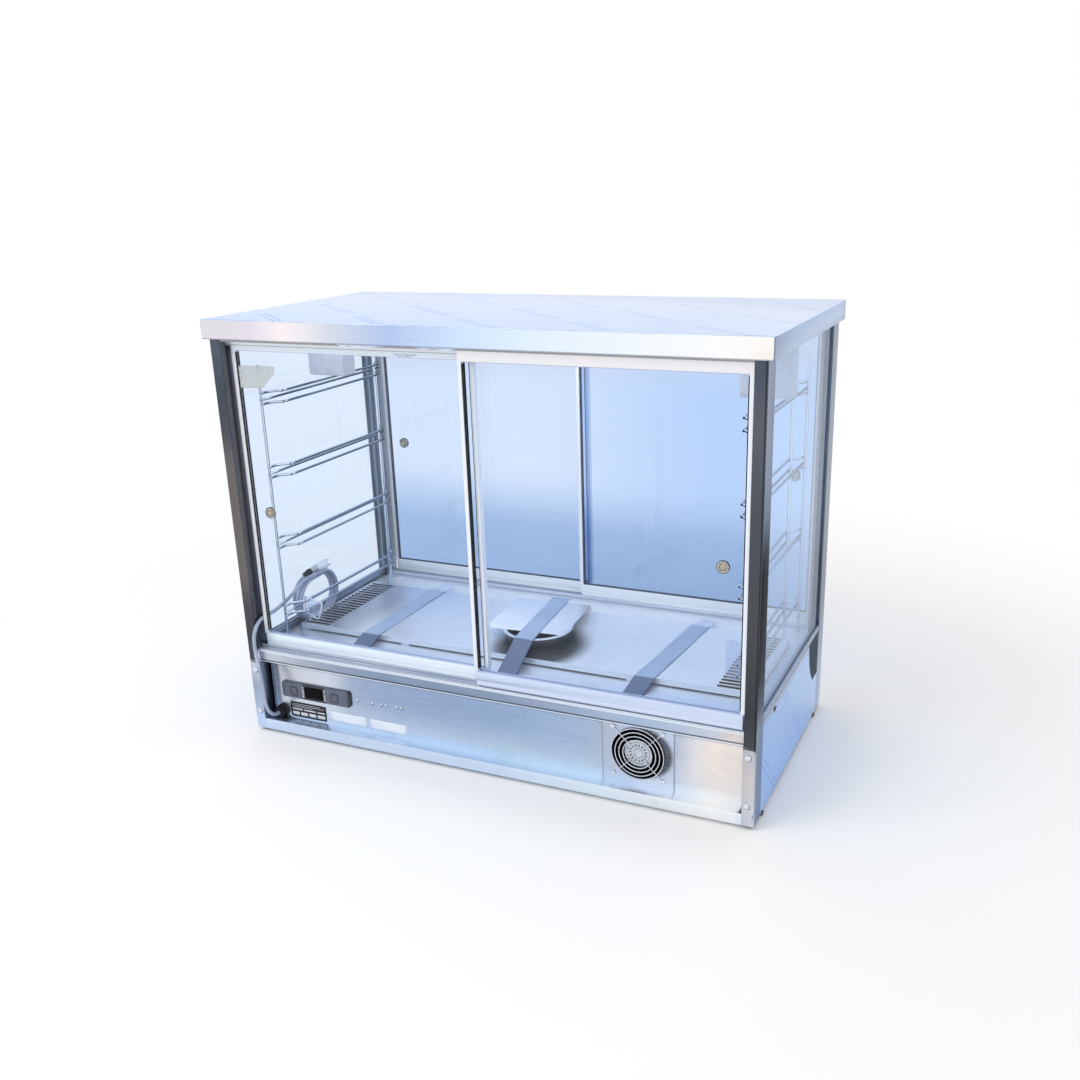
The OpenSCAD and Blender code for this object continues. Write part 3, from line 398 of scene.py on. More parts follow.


# %% [markdown]
# ## The mains lead
# The lead leaves its gland at the lower left, climbs the post's face in a lazy bow, slips in through the gap
# beside the door that stands ajar, runs along inside and is coiled on the deck. It is one tube along one path.
# The first stretch is a curve through listed points, and the coil is a racetrack whose turns lie side by
# side, so both can be computed and joined before the tube is made.

# %% The lead's path
lead_d = 8.4
lead_route = [
    (66, 24, 38.5), (66, 18, 38.8), (65.9, 10, 40.8), (65.4, 1, 45.8), (64.5, -5.5, 52.6), (63.2, -9.2, 59.6),
    (61.6, -11.2, 68), (59.8, -11.4, 77), (57.7, -9.8, 87), (55.2, -7.1, 98), (51.8, -3.7, 115),
    (47.3, -0.6, 137), (42.4, 1.6, 160), (38.2, 3.1, 180), (36.0, 3.8, 198), (35.6, 4.0, 212),
    (36.4, 4.4, 226), (38.0, 6.2, 238.5), (39.6, 10.8, 249.4), (40.7, 17.6, 257.6), (41.3, 26, 263),
    (41.5, 36, 265.6), (41.6, 50, 266.2), (42.6, 70, 267), (44.8, 90, 271), (46.8, 110, 277), (48, 130, 284),
    (48, 150, 291.5), (47.8, 170, 298.5), (47.5, 188, 303.2), (47.5, 204, 305.3),
]
coil_front, coil_back, coil_mid, coil_radius = 217.0, 261.0, 248.3, 48.8


def coil_path(turns=3, points=60):
    """A racetrack: two half circles joined by two straights, walked once per turn. The radius starts wider,
    where the lead lies on the coil, and ends wider, where it climbs to the plug. x steps inwards by one
    diameter while each turn crosses the top."""
    u = np.linspace(0, turns - 0.02, turns * points)
    straight = coil_back - coil_front
    lap = 2 * straight + 2 * np.pi * coil_radius
    radius = coil_radius + 8.6 * (1 - step(u, 0, 0.42)) + 6.2 * step(u, turns - 0.3, turns - 0.04)
    d = (u % 1) * lap
    arc = np.pi * coil_radius
    far, near = np.clip(d - straight, 0, arc), np.clip(d - 2 * straight - arc, 0, arc)
    angle = np.pi / 2 - (far + near) / coil_radius
    y = coil_front + np.clip(d, 0, straight) - np.clip(d - straight - arc, 0, straight)
    hop = sum(step(u, n - 0.07, n + 0.25) for n in range(1, turns))
    x = 47.2 - 8.5 * hop + 2.6 * np.exp(-(((u - 0.09) / 0.07) ** 2))
    return xyz(x, y + radius * np.cos(angle), coil_mid + radius * np.sin(angle))


lead_path = np.vstack([smooth_path(lead_route, 5), coil_path()[1:], [(31.2, 214.5, 304.6)]])
lead = tube_piece("mains_lead", lead_path, lead_d / 2, sides=14)

# %% [markdown]
# ## The plug on the lead's far end
# The plug is clear moulded plastic over a grey neck, with three flat pins. It is turned on its own axis, so a
# lathe profile gives the body and the grip, and the pins are small blades. A black strain relief and a wider
# black sleeve hold the lead just before it.

# %% Plug, strain relief and sleeve
plug_at = np.array((36.0, 232.0, 312.7))
plug_head = lathe_piece("plug_head", plug_at, (0, 1, 0), [
    (16, 0), (16, 8.4), (18, 9.2), (20, 10.6), (26, 11.2), (33, 11.4), (40, 11.6), (43, 12.8), (45, 13.2),
    (50, 13.2), (52, 12.6), (52.4, 11), (52.4, 0),
], sides=40)
plug_neck = lathe_piece("plug_neck", plug_at, (0, 1, 0), [
    (-1, 0), (-1, 6.2), (1, 7.2), (3, 7.4), (4, 6.6), (5.4, 6.6), (6.4, 7.8), (8, 8.0), (9, 7.2), (10.4, 7.2),
    (11.4, 8.5), (13, 8.7), (14, 7.8), (15.4, 7.8), (16.2, 9.4), (18.4, 9.4), (18.4, 0),
], sides=32)
relief_at, relief_axis = np.array((31.0, 212.0, 303.5)), np.array((0.219, 0.879, 0.423))
plug_relief = lathe_piece("plug_relief", relief_at, relief_axis, [
    (-1, 0), (-1, 4.5), (0, 5.0), (2.6, 5.1), (3.0, 4.7), (4.6, 4.8), (5.0, 5.4), (7.6, 5.5), (8, 5.0),
    (9.6, 5.2), (10, 5.8), (12.6, 5.9), (13, 5.4), (14.6, 5.6), (15, 6.2), (19, 6.4), (22, 6.4),
    (23, 5.6), (23.2, 0),
], sides=28)


def pin_blade(angle):
    """A flat pin: a rounded rectangle carried along the plug's axis, narrowing over its last three
    millimetres, stood off the axis at an angle."""
    along = np.array((0, 14, 15.5, 16.6, 17))[:, None]
    narrow = np.array((1, 1, 0.92, 0.72, 0.45))[:, None]
    turn = around(20)[None, :]
    wide = 3.1 * narrow * np.sign(np.cos(turn)) * np.abs(np.cos(turn)) ** 0.4
    out = 7.4 + 0.85 * narrow * np.sign(np.sin(turn)) * np.abs(np.sin(turn)) ** 0.4
    x = plug_at[0] + out * math.cos(angle) - wide * math.sin(angle)
    z = plug_at[2] + out * math.sin(angle) + wide * math.cos(angle)
    return grid_piece("pin", xyz(x, plug_at[1] + 52 + along, z), wrap_columns=True, close_ends=True)


plug_pins = joined("plug_pins", [pin_blade(math.radians(a)) for a in (90, 215, 325)])
sleeve_path = relief_at + np.linspace(1, 19, 9)[:, None] * relief_axis
lead_sleeve = tube_piece("lead_sleeve", sleeve_path, lead_d / 2 + 4.4, sides=24)
print("plug stands", round(float(plug_at[2] - coil_mid), 1), "mm over the coil's middle")

# %% [markdown]
# ## Finishes for the lead and its plug
# Soft grey rubber has a dull sheen and a faint mottling, the clear head is milky, and the pins are nickel.

# %% Lead and plug finishes
def moulded(name, base, second, rough=0.4, scale=60, coat=0.0, bump=0.08, shine=0.5):
    """Moulded plastic or rubber: a cloud mixes two colours, and a fine grain roughens them. A low shine keeps
    a black one black."""
    finish = Finish(name)
    cloud, fine = finish.noise(scale, 3, 0.6), finish.noise(900, 2, 0.6)
    return finish.done(
        Base_Color=cloud.rise(0.3, 0.7).blend(base, second),
        Roughness=rough + (cloud - 0.5) * 0.2 + (fine - 0.5) * 0.1,
        Coat_Weight=coat, Coat_Roughness=0.12, Specular_IOR_Level=shine,
        Normal=finish.bump(fine, bump, 0.0003),
    )


def bright_metal(name, base, second, rough=0.22, scale=90):
    """Bright plated metal: the colour and the roughness wander a little."""
    finish = Finish(name)
    cloud, fine = finish.noise(scale, 3, 0.6), finish.noise(700, 2, 0.6)
    return finish.done(
        Base_Color=cloud.rise(0.3, 0.7).blend(base, second),
        Metallic=1.0,
        Roughness=rough + (cloud - 0.5) * 0.16,
        Normal=finish.bump(fine, 0.06, 0.0002),
    )


lead_sheath = moulded("lead_sheath", (146, 156, 180), (176, 188, 210), rough=0.36, scale=30, coat=0.25)
black_rubber = moulded("black_rubber", (12, 12, 14), (26, 26, 30), rough=0.5, shine=0.2)
grey_rubber = moulded("grey_rubber", (176, 182, 196), (204, 210, 222), rough=0.4)
clear_plug = moulded("clear_plug", (226, 234, 244), (246, 249, 253), rough=0.12, coat=0.8)
nickel = bright_metal("nickel", (196, 196, 200), (222, 222, 226))

for piece, look, slot in (
    (lead, lead_sheath, "cord"), (plug_relief, black_rubber, "plug"), (plug_neck, grey_rubber, "plug"),
    (plug_head, clear_plug, "plug"), (plug_pins, nickel, "plug"), (lead_sleeve, black_rubber, "cord"),
):
    finished(piece, look, "cabinet")
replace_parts(lead, "cord", "cord_coil")
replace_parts(plug_head, "cord_plug")

# %% [markdown]
# ## Floor, world and light
# The floor and the world are white to the camera and in reflections, because bright metal shows whatever is
# round it. To soft light the world is a little weaker, and one large lamp at the upper left makes up for it,
# so the shadows stay soft and a colour renders about as it is written. The cabin is a box of metal that would
# only see its own dark ceiling, so a wide, weak lamp hangs under that ceiling and fills it evenly.

# %% Floor, world and lamps
def build_world(light):
    """A white world for the camera, for gloss and for glass, and a dimmer one for soft light."""
    world = bpy.data.worlds.new("studio")
    scene.world = world
    world.use_nodes = True
    tree = world.node_tree
    tree.nodes.clear()
    base = Tone(tree)
    seen = base.node("LightPath", out=0)
    seen = seen.either(base.node("LightPath", out=3)).either(base.node("LightPath", out=6))
    strength = seen * (1 - light) + light
    base.node("OutputWorld", None, {0: base.node("Background", None, {0: (1, 1, 1, 1), 1: strength})})


def build_floor(radius=6.0):
    """A pale disc, white near the cabinet, that fades into the world's white at its edge."""
    mesh = bpy.data.meshes.new("floor")
    mesh.from_pydata([(radius * math.cos(a), radius * math.sin(a), 0) for a in around(64)], [], [range(64)])
    floor = bpy.data.objects.new("floor", mesh)
    scene.collection.objects.link(floor)
    finish = Finish("floor")
    reach = finish.node("VectorMath", {"operation": "LENGTH"}, {0: finish.spot}, out=1)
    paper = finish.node("BsdfDiffuse", None, {0: (0.97, 0.97, 0.97, 1)})
    clear = finish.node("BsdfTransparent")
    return paint(floor, finish.shown(finish.mixed(reach.rise(0.9, 2.2), paper, clear)))


def build_lamp(name, at, towards, size, watts, depth=None, mirrored=False):
    """An area lamp, square or with a depth of its own, that only shows in reflections where mirrored."""
    lamp = bpy.data.objects.new(name, bpy.data.lights.new(name, "AREA"))
    lamp.data.size = size
    if depth:
        lamp.data.shape = "RECTANGLE"
        lamp.data.size_y = depth
    lamp.data.energy = watts
    way = Vector(towards) - Vector(at)
    lamp.matrix_world = Matrix.Translation(at) @ way.to_track_quat("-Z", "Y").to_matrix().to_4x4()
    lamp.visible_camera = False
    lamp.visible_glossy = mirrored
    lamp.visible_transmission = False
    scene.collection.objects.link(lamp)


build_world(0.86)
build_floor()
build_lamp("key", (-1.6, -2.4, 3.2), (0, 0, 0.5), 2.4, 46)
build_lamp("cabin_fill", (0, 0.02, 0.872), (0, 0.02, 0), 1.02, 1.7, depth=0.42, mirrored=True)

# %% [markdown]
# ## Brushed stainless steel
# Nearly all of the cabinet is folded stainless sheet with a fine brushed grain. The grain is noise drawn out
# along the brushing, and it changes the colour, the roughness and the slope a little. A ramp along the sheet
# stands for the broad reflections that it has in a room, so those stay where they are when the camera or the
# lamps move, and clouds stand for hand marks and scraps of film glue.

# %% Brushed steel
def ruled(finish, hue, lines):
    """A colour with bands drawn over it, each (axis, low, high, softness, colour, strength)."""
    for axis, low, high, soft, rgb, strength in lines:
        hue = (getattr(finish, axis).within(low, high, soft) * strength).blend(hue, rgb)
    return hue


def brushed_steel(name, stops, grain=(0.02, 1, 1), along="x", span=(0, slab_w), rough=0.3, clouds=0.05,
                  smudges=0.10, painted_glow=None, lines=(), metal=1.0, painted_shadow=None, slot_shade=None):
    """Brushed steel whose colour runs through stops along one axis, from span's start to its end. A painted
    glow is a second set of stops, a painted reflection, that takes over towards one end of another axis, by a
    power of the way there. Lines are narrow bands of one colour between two places on an axis, and a painted
    shadow is a soft dark oval in x and the axis given. Slot shade is painted shade in rows of dark gaps: the
    first one's y, their distance, their width and the x ranges."""
    finish = Finish(name)
    wander = (finish.noise(5, 4, 0.6) - 0.5) * clouds
    share = (getattr(finish, along) - span[0]) / (span[1] - span[0]) + wander
    hue = share.ramp(stops)
    # A painted glow: a second painted reflection, towards one end of another axis.
    if painted_glow:
        axis, start, end, power, second = painted_glow
        way = finish.node("MapRange", None, {0: getattr(finish, axis), 1: start, 2: end})
        hue = (way**power).blend(hue, share.ramp(second))
    # A painted shadow: a soft dark oval of shade cast on the sheet.
    if painted_shadow:
        axis, x, y, wide, deep, start, rgb, strength = painted_shadow
        across, back = (finish.x - x) / wide, (getattr(finish, axis) - y) / deep
        oval = across.reach(back)
        hue = ((1 - oval.rise(start, 1.0)) * strength).blend(hue, rgb)
    hue = ruled(finish, hue, lines)
    # Slot shade: the slots' openings are painted near black, as the shade beneath them.
    if slot_shade:
        first, pitch, wide, left, right = slot_shade
        gap = (finish.y - first).wrap(pitch)
        rows = finish.x.within(*left, 0.5).either(finish.x.within(*right, 0.5))
        hue = (gap.within(0.3, wide, 0.3) * rows).blend(hue, (10, 13, 18))
    grained = finish.noise(420, 2, 0.7, grain)
    smudge = finish.noise(14, 5, 0.65, (1, 1, 1.7))
    hue = (grained.rise(0.3, 0.8) * 0.10).blend(hue, (255, 255, 255))
    hue = (smudge.rise(0.5, 0.75) * smudges).blend(hue, (120, 132, 160))
    return finish.done(
        Base_Color=hue,
        Metallic=metal,
        Roughness=rough + (grained - 0.5) * 0.16 + (smudge - 0.5) * 0.1,
        Normal=finish.bump(grained, 0.12),
    )


# Panel: the stops are painted reflections, and the painted glow is a paler, bluer reflection low down. The
# lines are painted shade under the ledge and at the left end beside the post, with a painted highlight line
# there.
steel_panel = brushed_steel("steel_panel", [
    (0.00, (194, 194, 200)), (0.05, (196, 198, 206)), (0.09, (204, 208, 218)), (0.165, (206, 212, 226)),
    (0.22, (160, 176, 202)), (0.30, (148, 169, 202)), (0.42, (146, 167, 201)), (0.58, (151, 174, 206)),
    (0.67, (163, 184, 216)), (0.73, (174, 188, 205)), (0.85, (190, 198, 215)), (0.883, (232, 229, 233)),
    (0.917, (248, 234, 226)), (0.95, (240, 230, 222)), (1.00, (214, 208, 206)),
], painted_glow=("z", 138, 28, 2.2, [
    (0.00, (218, 232, 252)), (0.60, (218, 239, 255)), (0.75, (212, 232, 255)), (0.86, (230, 240, 255)),
    (0.92, (252, 252, 252)), (1.00, (236, 236, 238)),
]), lines=[
    ("z", 152, 168, 4, (104, 118, 140), 0.6), ("x", 45, 53, 1.5, (86, 98, 114), 0.6),
    ("x", 53, 55, 0.6, (226, 234, 244), 0.7), ("x", 55, 66, 1.5, (92, 104, 120), 0.55),
], rough=0.27)
# Ledge: painted reflections in the stops, and painted shade in the dark line along its lower edge. Painted
# highlights sit just under that line and along its top edge.
steel_ledge = brushed_steel("steel_ledge", [
    (0.00, (206, 210, 222)), (0.05, (202, 206, 218)), (0.17, (154, 166, 186)), (0.33, (127, 147, 175)),
    (0.50, (134, 151, 178)), (0.625, (145, 160, 186)), (0.75, (164, 182, 208)), (0.83, (168, 188, 214)),
    (0.92, (195, 204, 219)), (0.958, (222, 212, 206)), (0.985, (172, 182, 198)), (1.00, (156, 170, 190)),
], lines=[
    ("z", 172.6, 175.6, 0.5, (38, 48, 64), 0.88), ("z", 166, 172.0, 0.4, (240, 248, 255), 0.9),
    ("z", 192.6, 196, 0.5, (240, 247, 255), 0.8),
])
steel_plinth = brushed_steel("steel_plinth", [
    (0.00, (214, 231, 255)), (0.50, (216, 233, 255)), (0.75, (232, 244, 255)), (0.92, (252, 253, 255)),
    (0.96, (246, 250, 255)), (1.00, (196, 214, 242)),
])
# Tray: painted reflections in the stops, darker at the left end, and a painted glow, brighter towards the
# rear. The pan's painted shadow and dark reflection lie round it, a painted highlight runs along the front
# fold, and the louvre slots hold painted shade.
steel_tray = brushed_steel("steel_tray", [
    (0.00, (148, 158, 174)), (0.15, (172, 182, 200)), (0.20, (224, 232, 244)), (0.60, (234, 240, 248)),
    (0.82, (240, 242, 246)), (0.90, (246, 246, 246)), (1.00, (244, 244, 244)),
], rough=0.34, metal=0.6, painted_shadow=("y", 640, 226, 126, 150, 0.6, (2, 4, 8), 1.0), painted_glow=("y", 250, 430, 1.2, [
    (0.00, (176, 190, 214)), (0.20, (206, 219, 240)), (0.40, (250, 252, 255)), (1.00, (253, 253, 255)),
]), lines=[("y", 150, 157.2, 0.4, (236, 247, 255), 0.95)], slot_shade=(165.1, 15.4, 3.4, (60, 123), (1064, 1127)))
# Pan: painted shade low on its wall and a painted highlight at its rim.
steel_pan = brushed_steel("steel_pan", [
    (0.00, (52, 56, 66)), (0.45, (84, 90, 102)), (0.80, (120, 126, 138)), (0.92, (206, 216, 230)),
    (1.00, (226, 234, 246)),
], along="z", span=(206, 233), metal=0.8, grain=(1, 1, 0.1), clouds=0.3)
steel_cover = brushed_steel("steel_cover", [(0.00, (236, 243, 254)), (1.00, (244, 249, 255))],
                            span=(490, 690), rough=0.36, metal=0.6)
# Deck: painted reflections, darker at the left end, and a painted glow that brightens it towards the rear.
steel_deck = brushed_steel("steel_deck", [
    (0.00, (176, 188, 206)), (0.13, (190, 201, 218)), (0.20, (214, 224, 240)), (1.00, (220, 229, 244)),
], metal=0.6, painted_glow=("y", 300, 470, 1.0, [
    (0.00, (240, 248, 255)), (0.30, (246, 251, 255)), (1.00, (240, 246, 255)),
]))
steel_rear = brushed_steel("steel_rear", [(0.00, (212, 219, 232)), (1.00, (216, 223, 236))], metal=0.6)
# The floor under the tray is painted near black: painted shade, seen through the tray's slots.
steel_inside = brushed_steel("steel_inside", [(0.00, (40, 44, 52)), (1.00, (48, 52, 60))], rough=0.5)
# Fan plate: painted reflections, a painted glow low down, and the fan guard's painted shadow to the right of
# the fan.
steel_fan_plate = brushed_steel("steel_fan_plate", [
    (0.00, (182, 190, 206)), (0.50, (188, 203, 228)), (1.00, (196, 208, 230)),
], span=(864, 1019), painted_shadow=("z", 957, 100, 64, 60, 0.8, (66, 70, 80), 0.95), painted_glow=("z", 138, 28, 2.4, [
    (0.0, (206, 222, 250)), (1.0, (226, 236, 255)),
]), lines=[
    ("x", 864, 866.5, 0.6, (110, 124, 148), 0.7), ("x", 1016.5, 1019, 0.6, (110, 124, 148), 0.7),
])
# The brackets' stops are painted reflections up their faces.
left_bracket_stops = [
    (0.03, (203, 223, 254)), (0.07, (176, 191, 216)), (0.12, (163, 174, 195)), (0.17, (196, 206, 219)),
]
right_bracket_stops = [
    (0.03, (217, 220, 231)), (0.07, (213, 211, 214)), (0.12, (214, 208, 209)), (0.17, (190, 194, 198)),
]
# Rear posts: painted reflections up them, dark in the middle, with painted dark and light streaks along their
# faces.
steel_rear_post = brushed_steel("steel_rear_post", [
    (0.00, (186, 206, 238)), (0.22, (130, 146, 168)), (0.30, (96, 112, 124)), (0.42, (92, 106, 122)),
    (0.58, (108, 124, 146)), (1.00, (112, 128, 150)),
], grain=(1, 1, 0.02), along="z", span=(0, post_h), lines=[
    ("y", 550, 553, 0.6, (30, 38, 46), 0.8), ("y", 562, 566, 0.8, (44, 54, 64), 0.7),
    ("x", 16, 19, 0.8, (38, 46, 56), 0.7), ("x", 26, 29, 0.8, (150, 166, 186), 0.6),
    ("x", 33, 36, 0.6, (30, 38, 46), 0.8),
])


def upright_steel(name, facing, turned, edge=12.9, groove_shade=None):
    """A front post or its bracket: one set of stops up the face strip and another up the turned sides, both
    painted reflections, changed over just behind the face, with an upright grain. A groove shade is a dark
    upright line painted in the face, as shade in the groove beside the front strip."""
    finish = Finish(name)
    grained = finish.noise(300, 2, 0.6, (1, 1, 0.015))
    cloud = finish.noise(9, 4, 0.6, (1, 1, 0.5))
    share = finish.z / post_h + (cloud - 0.5) * 0.035
    face = share.ramp(facing)
    # Painted shade: a dark upright line where the groove beside the front strip lies.
    if groove_shade:
        left, right, bottom = groove_shade
        deep = finish.x.within(left, right, 0.5) * finish.z.rise(bottom, bottom + 30)
        face = (deep * 0.8).blend(face, (30, 34, 42))
    hue = finish.y.rise(edge - 0.4, edge).blend(face, share.ramp(turned))
    hue = (cloud.rise(0.5, 0.8) * 0.07).blend(hue, (120, 122, 130))
    hue = (grained.rise(0.5, 0.85) * 0.09).blend(hue, (130, 132, 140))
    return finish.done(
        Base_Color=hue,
        Metallic=1.0,
        Specular_Tint=colour(190, 191, 193),
        Roughness=0.36 + (grained - 0.5) * 0.2,
        Normal=finish.bump(grained, 0.12),
    )


# The posts' stops are painted reflections: pale at the foot, dark and brownish higher up.
post_left = upright_steel("post_left", [
    (0.03, (201, 220, 250)), (0.08, (175, 190, 215)), (0.125, (163, 174, 195)), (0.178, (196, 208, 222)),
    (0.19, (78, 82, 86)), (0.25, (72, 76, 80)), (0.34, (80, 80, 85)), (0.42, (113, 109, 109)),
    (0.70, (113, 109, 109)), (0.78, (84, 87, 96)), (0.88, (76, 82, 94)), (0.97, (92, 97, 113)),
], [
    (0.03, (180, 198, 228)), (0.17, (168, 184, 212)), (0.22, (120, 126, 136)), (0.26, (106, 108, 114)),
    (0.60, (118, 114, 114)), (1.00, (104, 104, 110)),
])
post_right = upright_steel("post_right", [
    (0.03, (214, 218, 228)), (0.175, (204, 205, 210)), (0.188, (76, 80, 82)), (0.27, (67, 70, 74)),
    (0.43, (79, 82, 85)), (0.70, (82, 86, 95)), (0.88, (96, 100, 111)), (0.97, (84, 89, 104)),
], [
    (0.08, (182, 202, 231)), (0.125, (172, 192, 219)), (0.17, (176, 194, 216)), (0.225, (176, 192, 212)),
    (0.27, (116, 127, 142)), (0.34, (52, 58, 66)), (0.40, (34, 38, 42)), (0.56, (28, 34, 38)),
    (0.61, (64, 72, 82)), (0.70, (138, 152, 171)), (0.80, (161, 172, 192)), (0.90, (160, 170, 189)),
    (0.97, (166, 176, 194)),
], groove_shade=(1183.6, 1186.0, 4))
bracket_left = upright_steel("bracket_left", left_bracket_stops, left_bracket_stops, edge=30)
bracket_right = upright_steel("bracket_right", right_bracket_stops, right_bracket_stops, edge=30)
print("steel finishes", len(bpy.data.materials))

# %% [markdown]
# ## Protective film on the sides and the top
# New sheet steel comes under a thin pale-blue film, still on when the cabinet is delivered. It is glossy, has
# faint long streaks and is printed in rows of slanted double dashes. The dashes are plain maths on the
# coordinates: a band across each of two repeats, so no picture is needed.

# %% Film finish
def dashes(finish, along, across, run, row, length, width):
    """Rows of double dashes: 1 inside two thin bands, 0 elsewhere. They repeat every run along and every row
    across, and each row starts a little under half a run later than the one before."""
    line = finish.maths("FLOOR", across / row)
    shifted = along + line * (run * 0.43)
    u, v = shifted.wrap(run), across.wrap(row)
    inside = u.within(run * 0.2, run * 0.2 + length, 1.0)
    first = v.within(row * 0.40, row * 0.40 + width, 0.5)
    second = v.within(row * 0.40 + width * 2.2, row * 0.40 + width * 3.2, 0.5)
    return inside * first.either(second)


def film_colour(finish, base, deep, streaked, ink, mark, strength):
    """Pale film: two blues in slow clouds, long paler streaks, and the dashes in a stronger blue."""
    patchy = finish.noise(90, 2, 0.6).rise(0.34, 0.5)
    hue = finish.noise(4, 4, 0.6).rise(0.3, 0.75).blend(base, deep)
    hue = (streaked * 0.2).blend(hue, (236, 244, 255))
    return (mark * patchy * strength).blend(hue, ink)


def side_film_finish():
    """Film on the side sheets: bluer towards the front, torn off at the upper rear corner, where dark smooth
    steel shows beyond a curved edge, and with a deeper blue line along its top."""
    finish = Finish("side_film")
    streak = finish.noise(30, 3, 0.6, (1, 0.12, 1)).rise(0.5, 0.8)
    wrinkle = finish.noise(60, 3, 0.5, (1, 0.3, 1))
    mark = dashes(finish, finish.y - finish.z + 124, finish.y + finish.z - 72, 425, 237, 320, 9)
    film = film_colour(finish, (148, 193, 255), (156, 201, 255), streak, (92, 146, 236), mark, 0.7)
    film = (finish.y.rise(430, 560) * 0.5).blend(film, (180, 210, 252))
    film = (finish.z.within(184, 188, 1) * 0.6).blend(film, (112, 156, 226))
    film = (finish.z.rise(188, 189.5) * 0.7).blend(film, (150, 166, 196))
    bend = ((200 - finish.z) / 100) ** 1.8 * 46 + 452
    wave = (finish.noise(24, 2, 0.5) - 0.5) * 14
    bare = (finish.y - bend + wave).rise(-0.6, 0.6) * finish.z.rise(96, 99)
    hue = bare.blend(film, (84, 94, 104))
    return finish.done(
        Base_Color=hue,
        Metallic=(1 - bare) * 0.8, Specular_IOR_Level=0.0,
        Roughness=0.22 + (streak - 0.5) * 0.12,
        Coat_Weight=(1 - bare) * 0.4, Coat_Roughness=0.08,
        Normal=finish.bump(wrinkle * (1 - bare), 0.12, 0.0008),
    )


side_film = side_film_finish()
dress(side_film, "side_panel_left side_panel_right")

# %% [markdown]
# ## Glass, aluminium and the small parts' finishes
# Clear glass passes light straight through, tinted a little, and reflects more the flatter it is seen. So
# the finish mixes a transparent shader with a glossy one by how the surface faces. The rear panes carry a
# cool tint, and painted tints, deeper at the right and lower down, stand for the surroundings seen through
# them; the front ones are nearly clear.

# %% Glass
def glass_finish(name, tint, streaks=0.05, painted_tints=()):
    """Glass: a transparent tint and a glossy surface, whose share grows as the fifth power of how edge-on the
    pane is seen, with faint diagonal streaks. Each painted tint is a further tint that takes over along an
    axis
    from start to end: painted light that stands for the surroundings seen through the pane."""
    finish = Finish(name)
    facing = finish.node("LayerWeight", None, {"Blend": 0.5}, out=1)
    wiped = finish.noise(26, 4, 0.7, (1, 1, 0.08), (0, 0.5, 0)).rise(0.55, 0.8)
    share = facing**5 * 0.7 + wiped * streaks + 0.02
    clear = finish.node("BsdfTransparent", None, {0: colour(*tint)})
    for axis, start, end, other in painted_tints:
        toned = finish.node("BsdfTransparent", None, {0: colour(*other)})
        clear = finish.mixed(getattr(finish, axis).rise(start, end), clear, toned)
    sheen = finish.node("BsdfPrincipled", None, {
        "Base Color": colour(232, 242, 255), "Metallic": 1.0, "Roughness": 0.03,
    })
    return finish.shown(finish.mixed(share, clear, sheen))


front_glass = glass_finish("front_glass", (252, 253, 255))
# Rear panes: painted tints, bluer to the right, greyer high up and deeper low down, standing for the
# surroundings seen through them.
rear_glass = glass_finish("rear_glass", (236, 244, 255), streaks=0.07, painted_tints=(
    ("x", 450, 950, (219, 234, 254)), ("z", 700, 860, (229, 234, 246)), ("z", 520, 330, (204, 221, 243)),
))
side_glass = glass_finish("side_glass", (242, 248, 255))
dress(front_glass, "front_left_glass front_right_glass")
dress(rear_glass, "rear_left_glass rear_right_glass")
dress(side_glass, "side_glass_left side_glass_right")
print("glass on", sum("glass_" in n or n.endswith("_glass") for n in frame["nodes"]), "nodes")


# %% Aluminium, rubber, wire and plastics
def anodised(name, base, second, stile_light=None, lines=(), metal=0.6):
    """Anodised aluminium: fine lines along the rails, and along the stiles where the rails end. The stiles may
    have a paler colour of their own, a painted reflection."""
    finish = Finish(name)
    flat = finish.noise(500, 2, 0.6, (0.01, 1, 1))
    upright = finish.noise(500, 2, 0.6, (1, 1, 0.01))
    rail = (1 - finish.z.rise(233, 236)).either(finish.z.rise(862, 866))
    line = rail * flat + (1 - rail) * upright
    hue = line.rise(0.3, 0.7).blend(base, second)
    hue = (1 - rail).blend(hue, stile_light or second)
    return finish.done(
        Base_Color=ruled(finish, hue, lines),
        Metallic=metal,
        Roughness=0.34 + (line - 0.5) * 0.2,
        Normal=finish.bump(line, 0.15, 0.0003),
    )


# One aluminium in three copies, each brighter or darker and bluer by how its door's frames are lit: painted
# light and shade. The right door's top rail has a painted highlight.
aluminium_left = anodised("aluminium_left", (226, 240, 255), (236, 246, 255), (248, 251, 255), metal=0.25)
aluminium_right = anodised("aluminium_right", (208, 220, 244), (214, 225, 247), (238, 243, 252), lines=[
    ("z", 861, 890, 1.0, (246, 243, 244), 0.85),
])
aluminium_rear = anodised("aluminium_rear", (240, 248, 255), (250, 253, 255), metal=0.12)
channel_grey = anodised("channel_grey", (150, 164, 184), (176, 190, 210), lines=[
    ("z", 200, 201.4, 0.3, (84, 96, 112), 0.8), ("z", 207.6, 209.0, 0.4, (96, 108, 124), 0.7),
])
track_aluminium = anodised("track_aluminium", (208, 219, 236), (232, 238, 248), lines=[
    ("z", 198.2, 199.8, 0.4, (130, 140, 158), 0.8),
])
# Top tracks: a painted shadow line under the slab, at their top.
top_aluminium = anodised("top_aluminium", (222, 230, 242), (240, 244, 250), lines=[
    ("z", 884.5, 890, 1.2, (128, 122, 120), 0.75), ("z", 875.6, 877.0, 0.4, (110, 118, 132), 0.7),
])


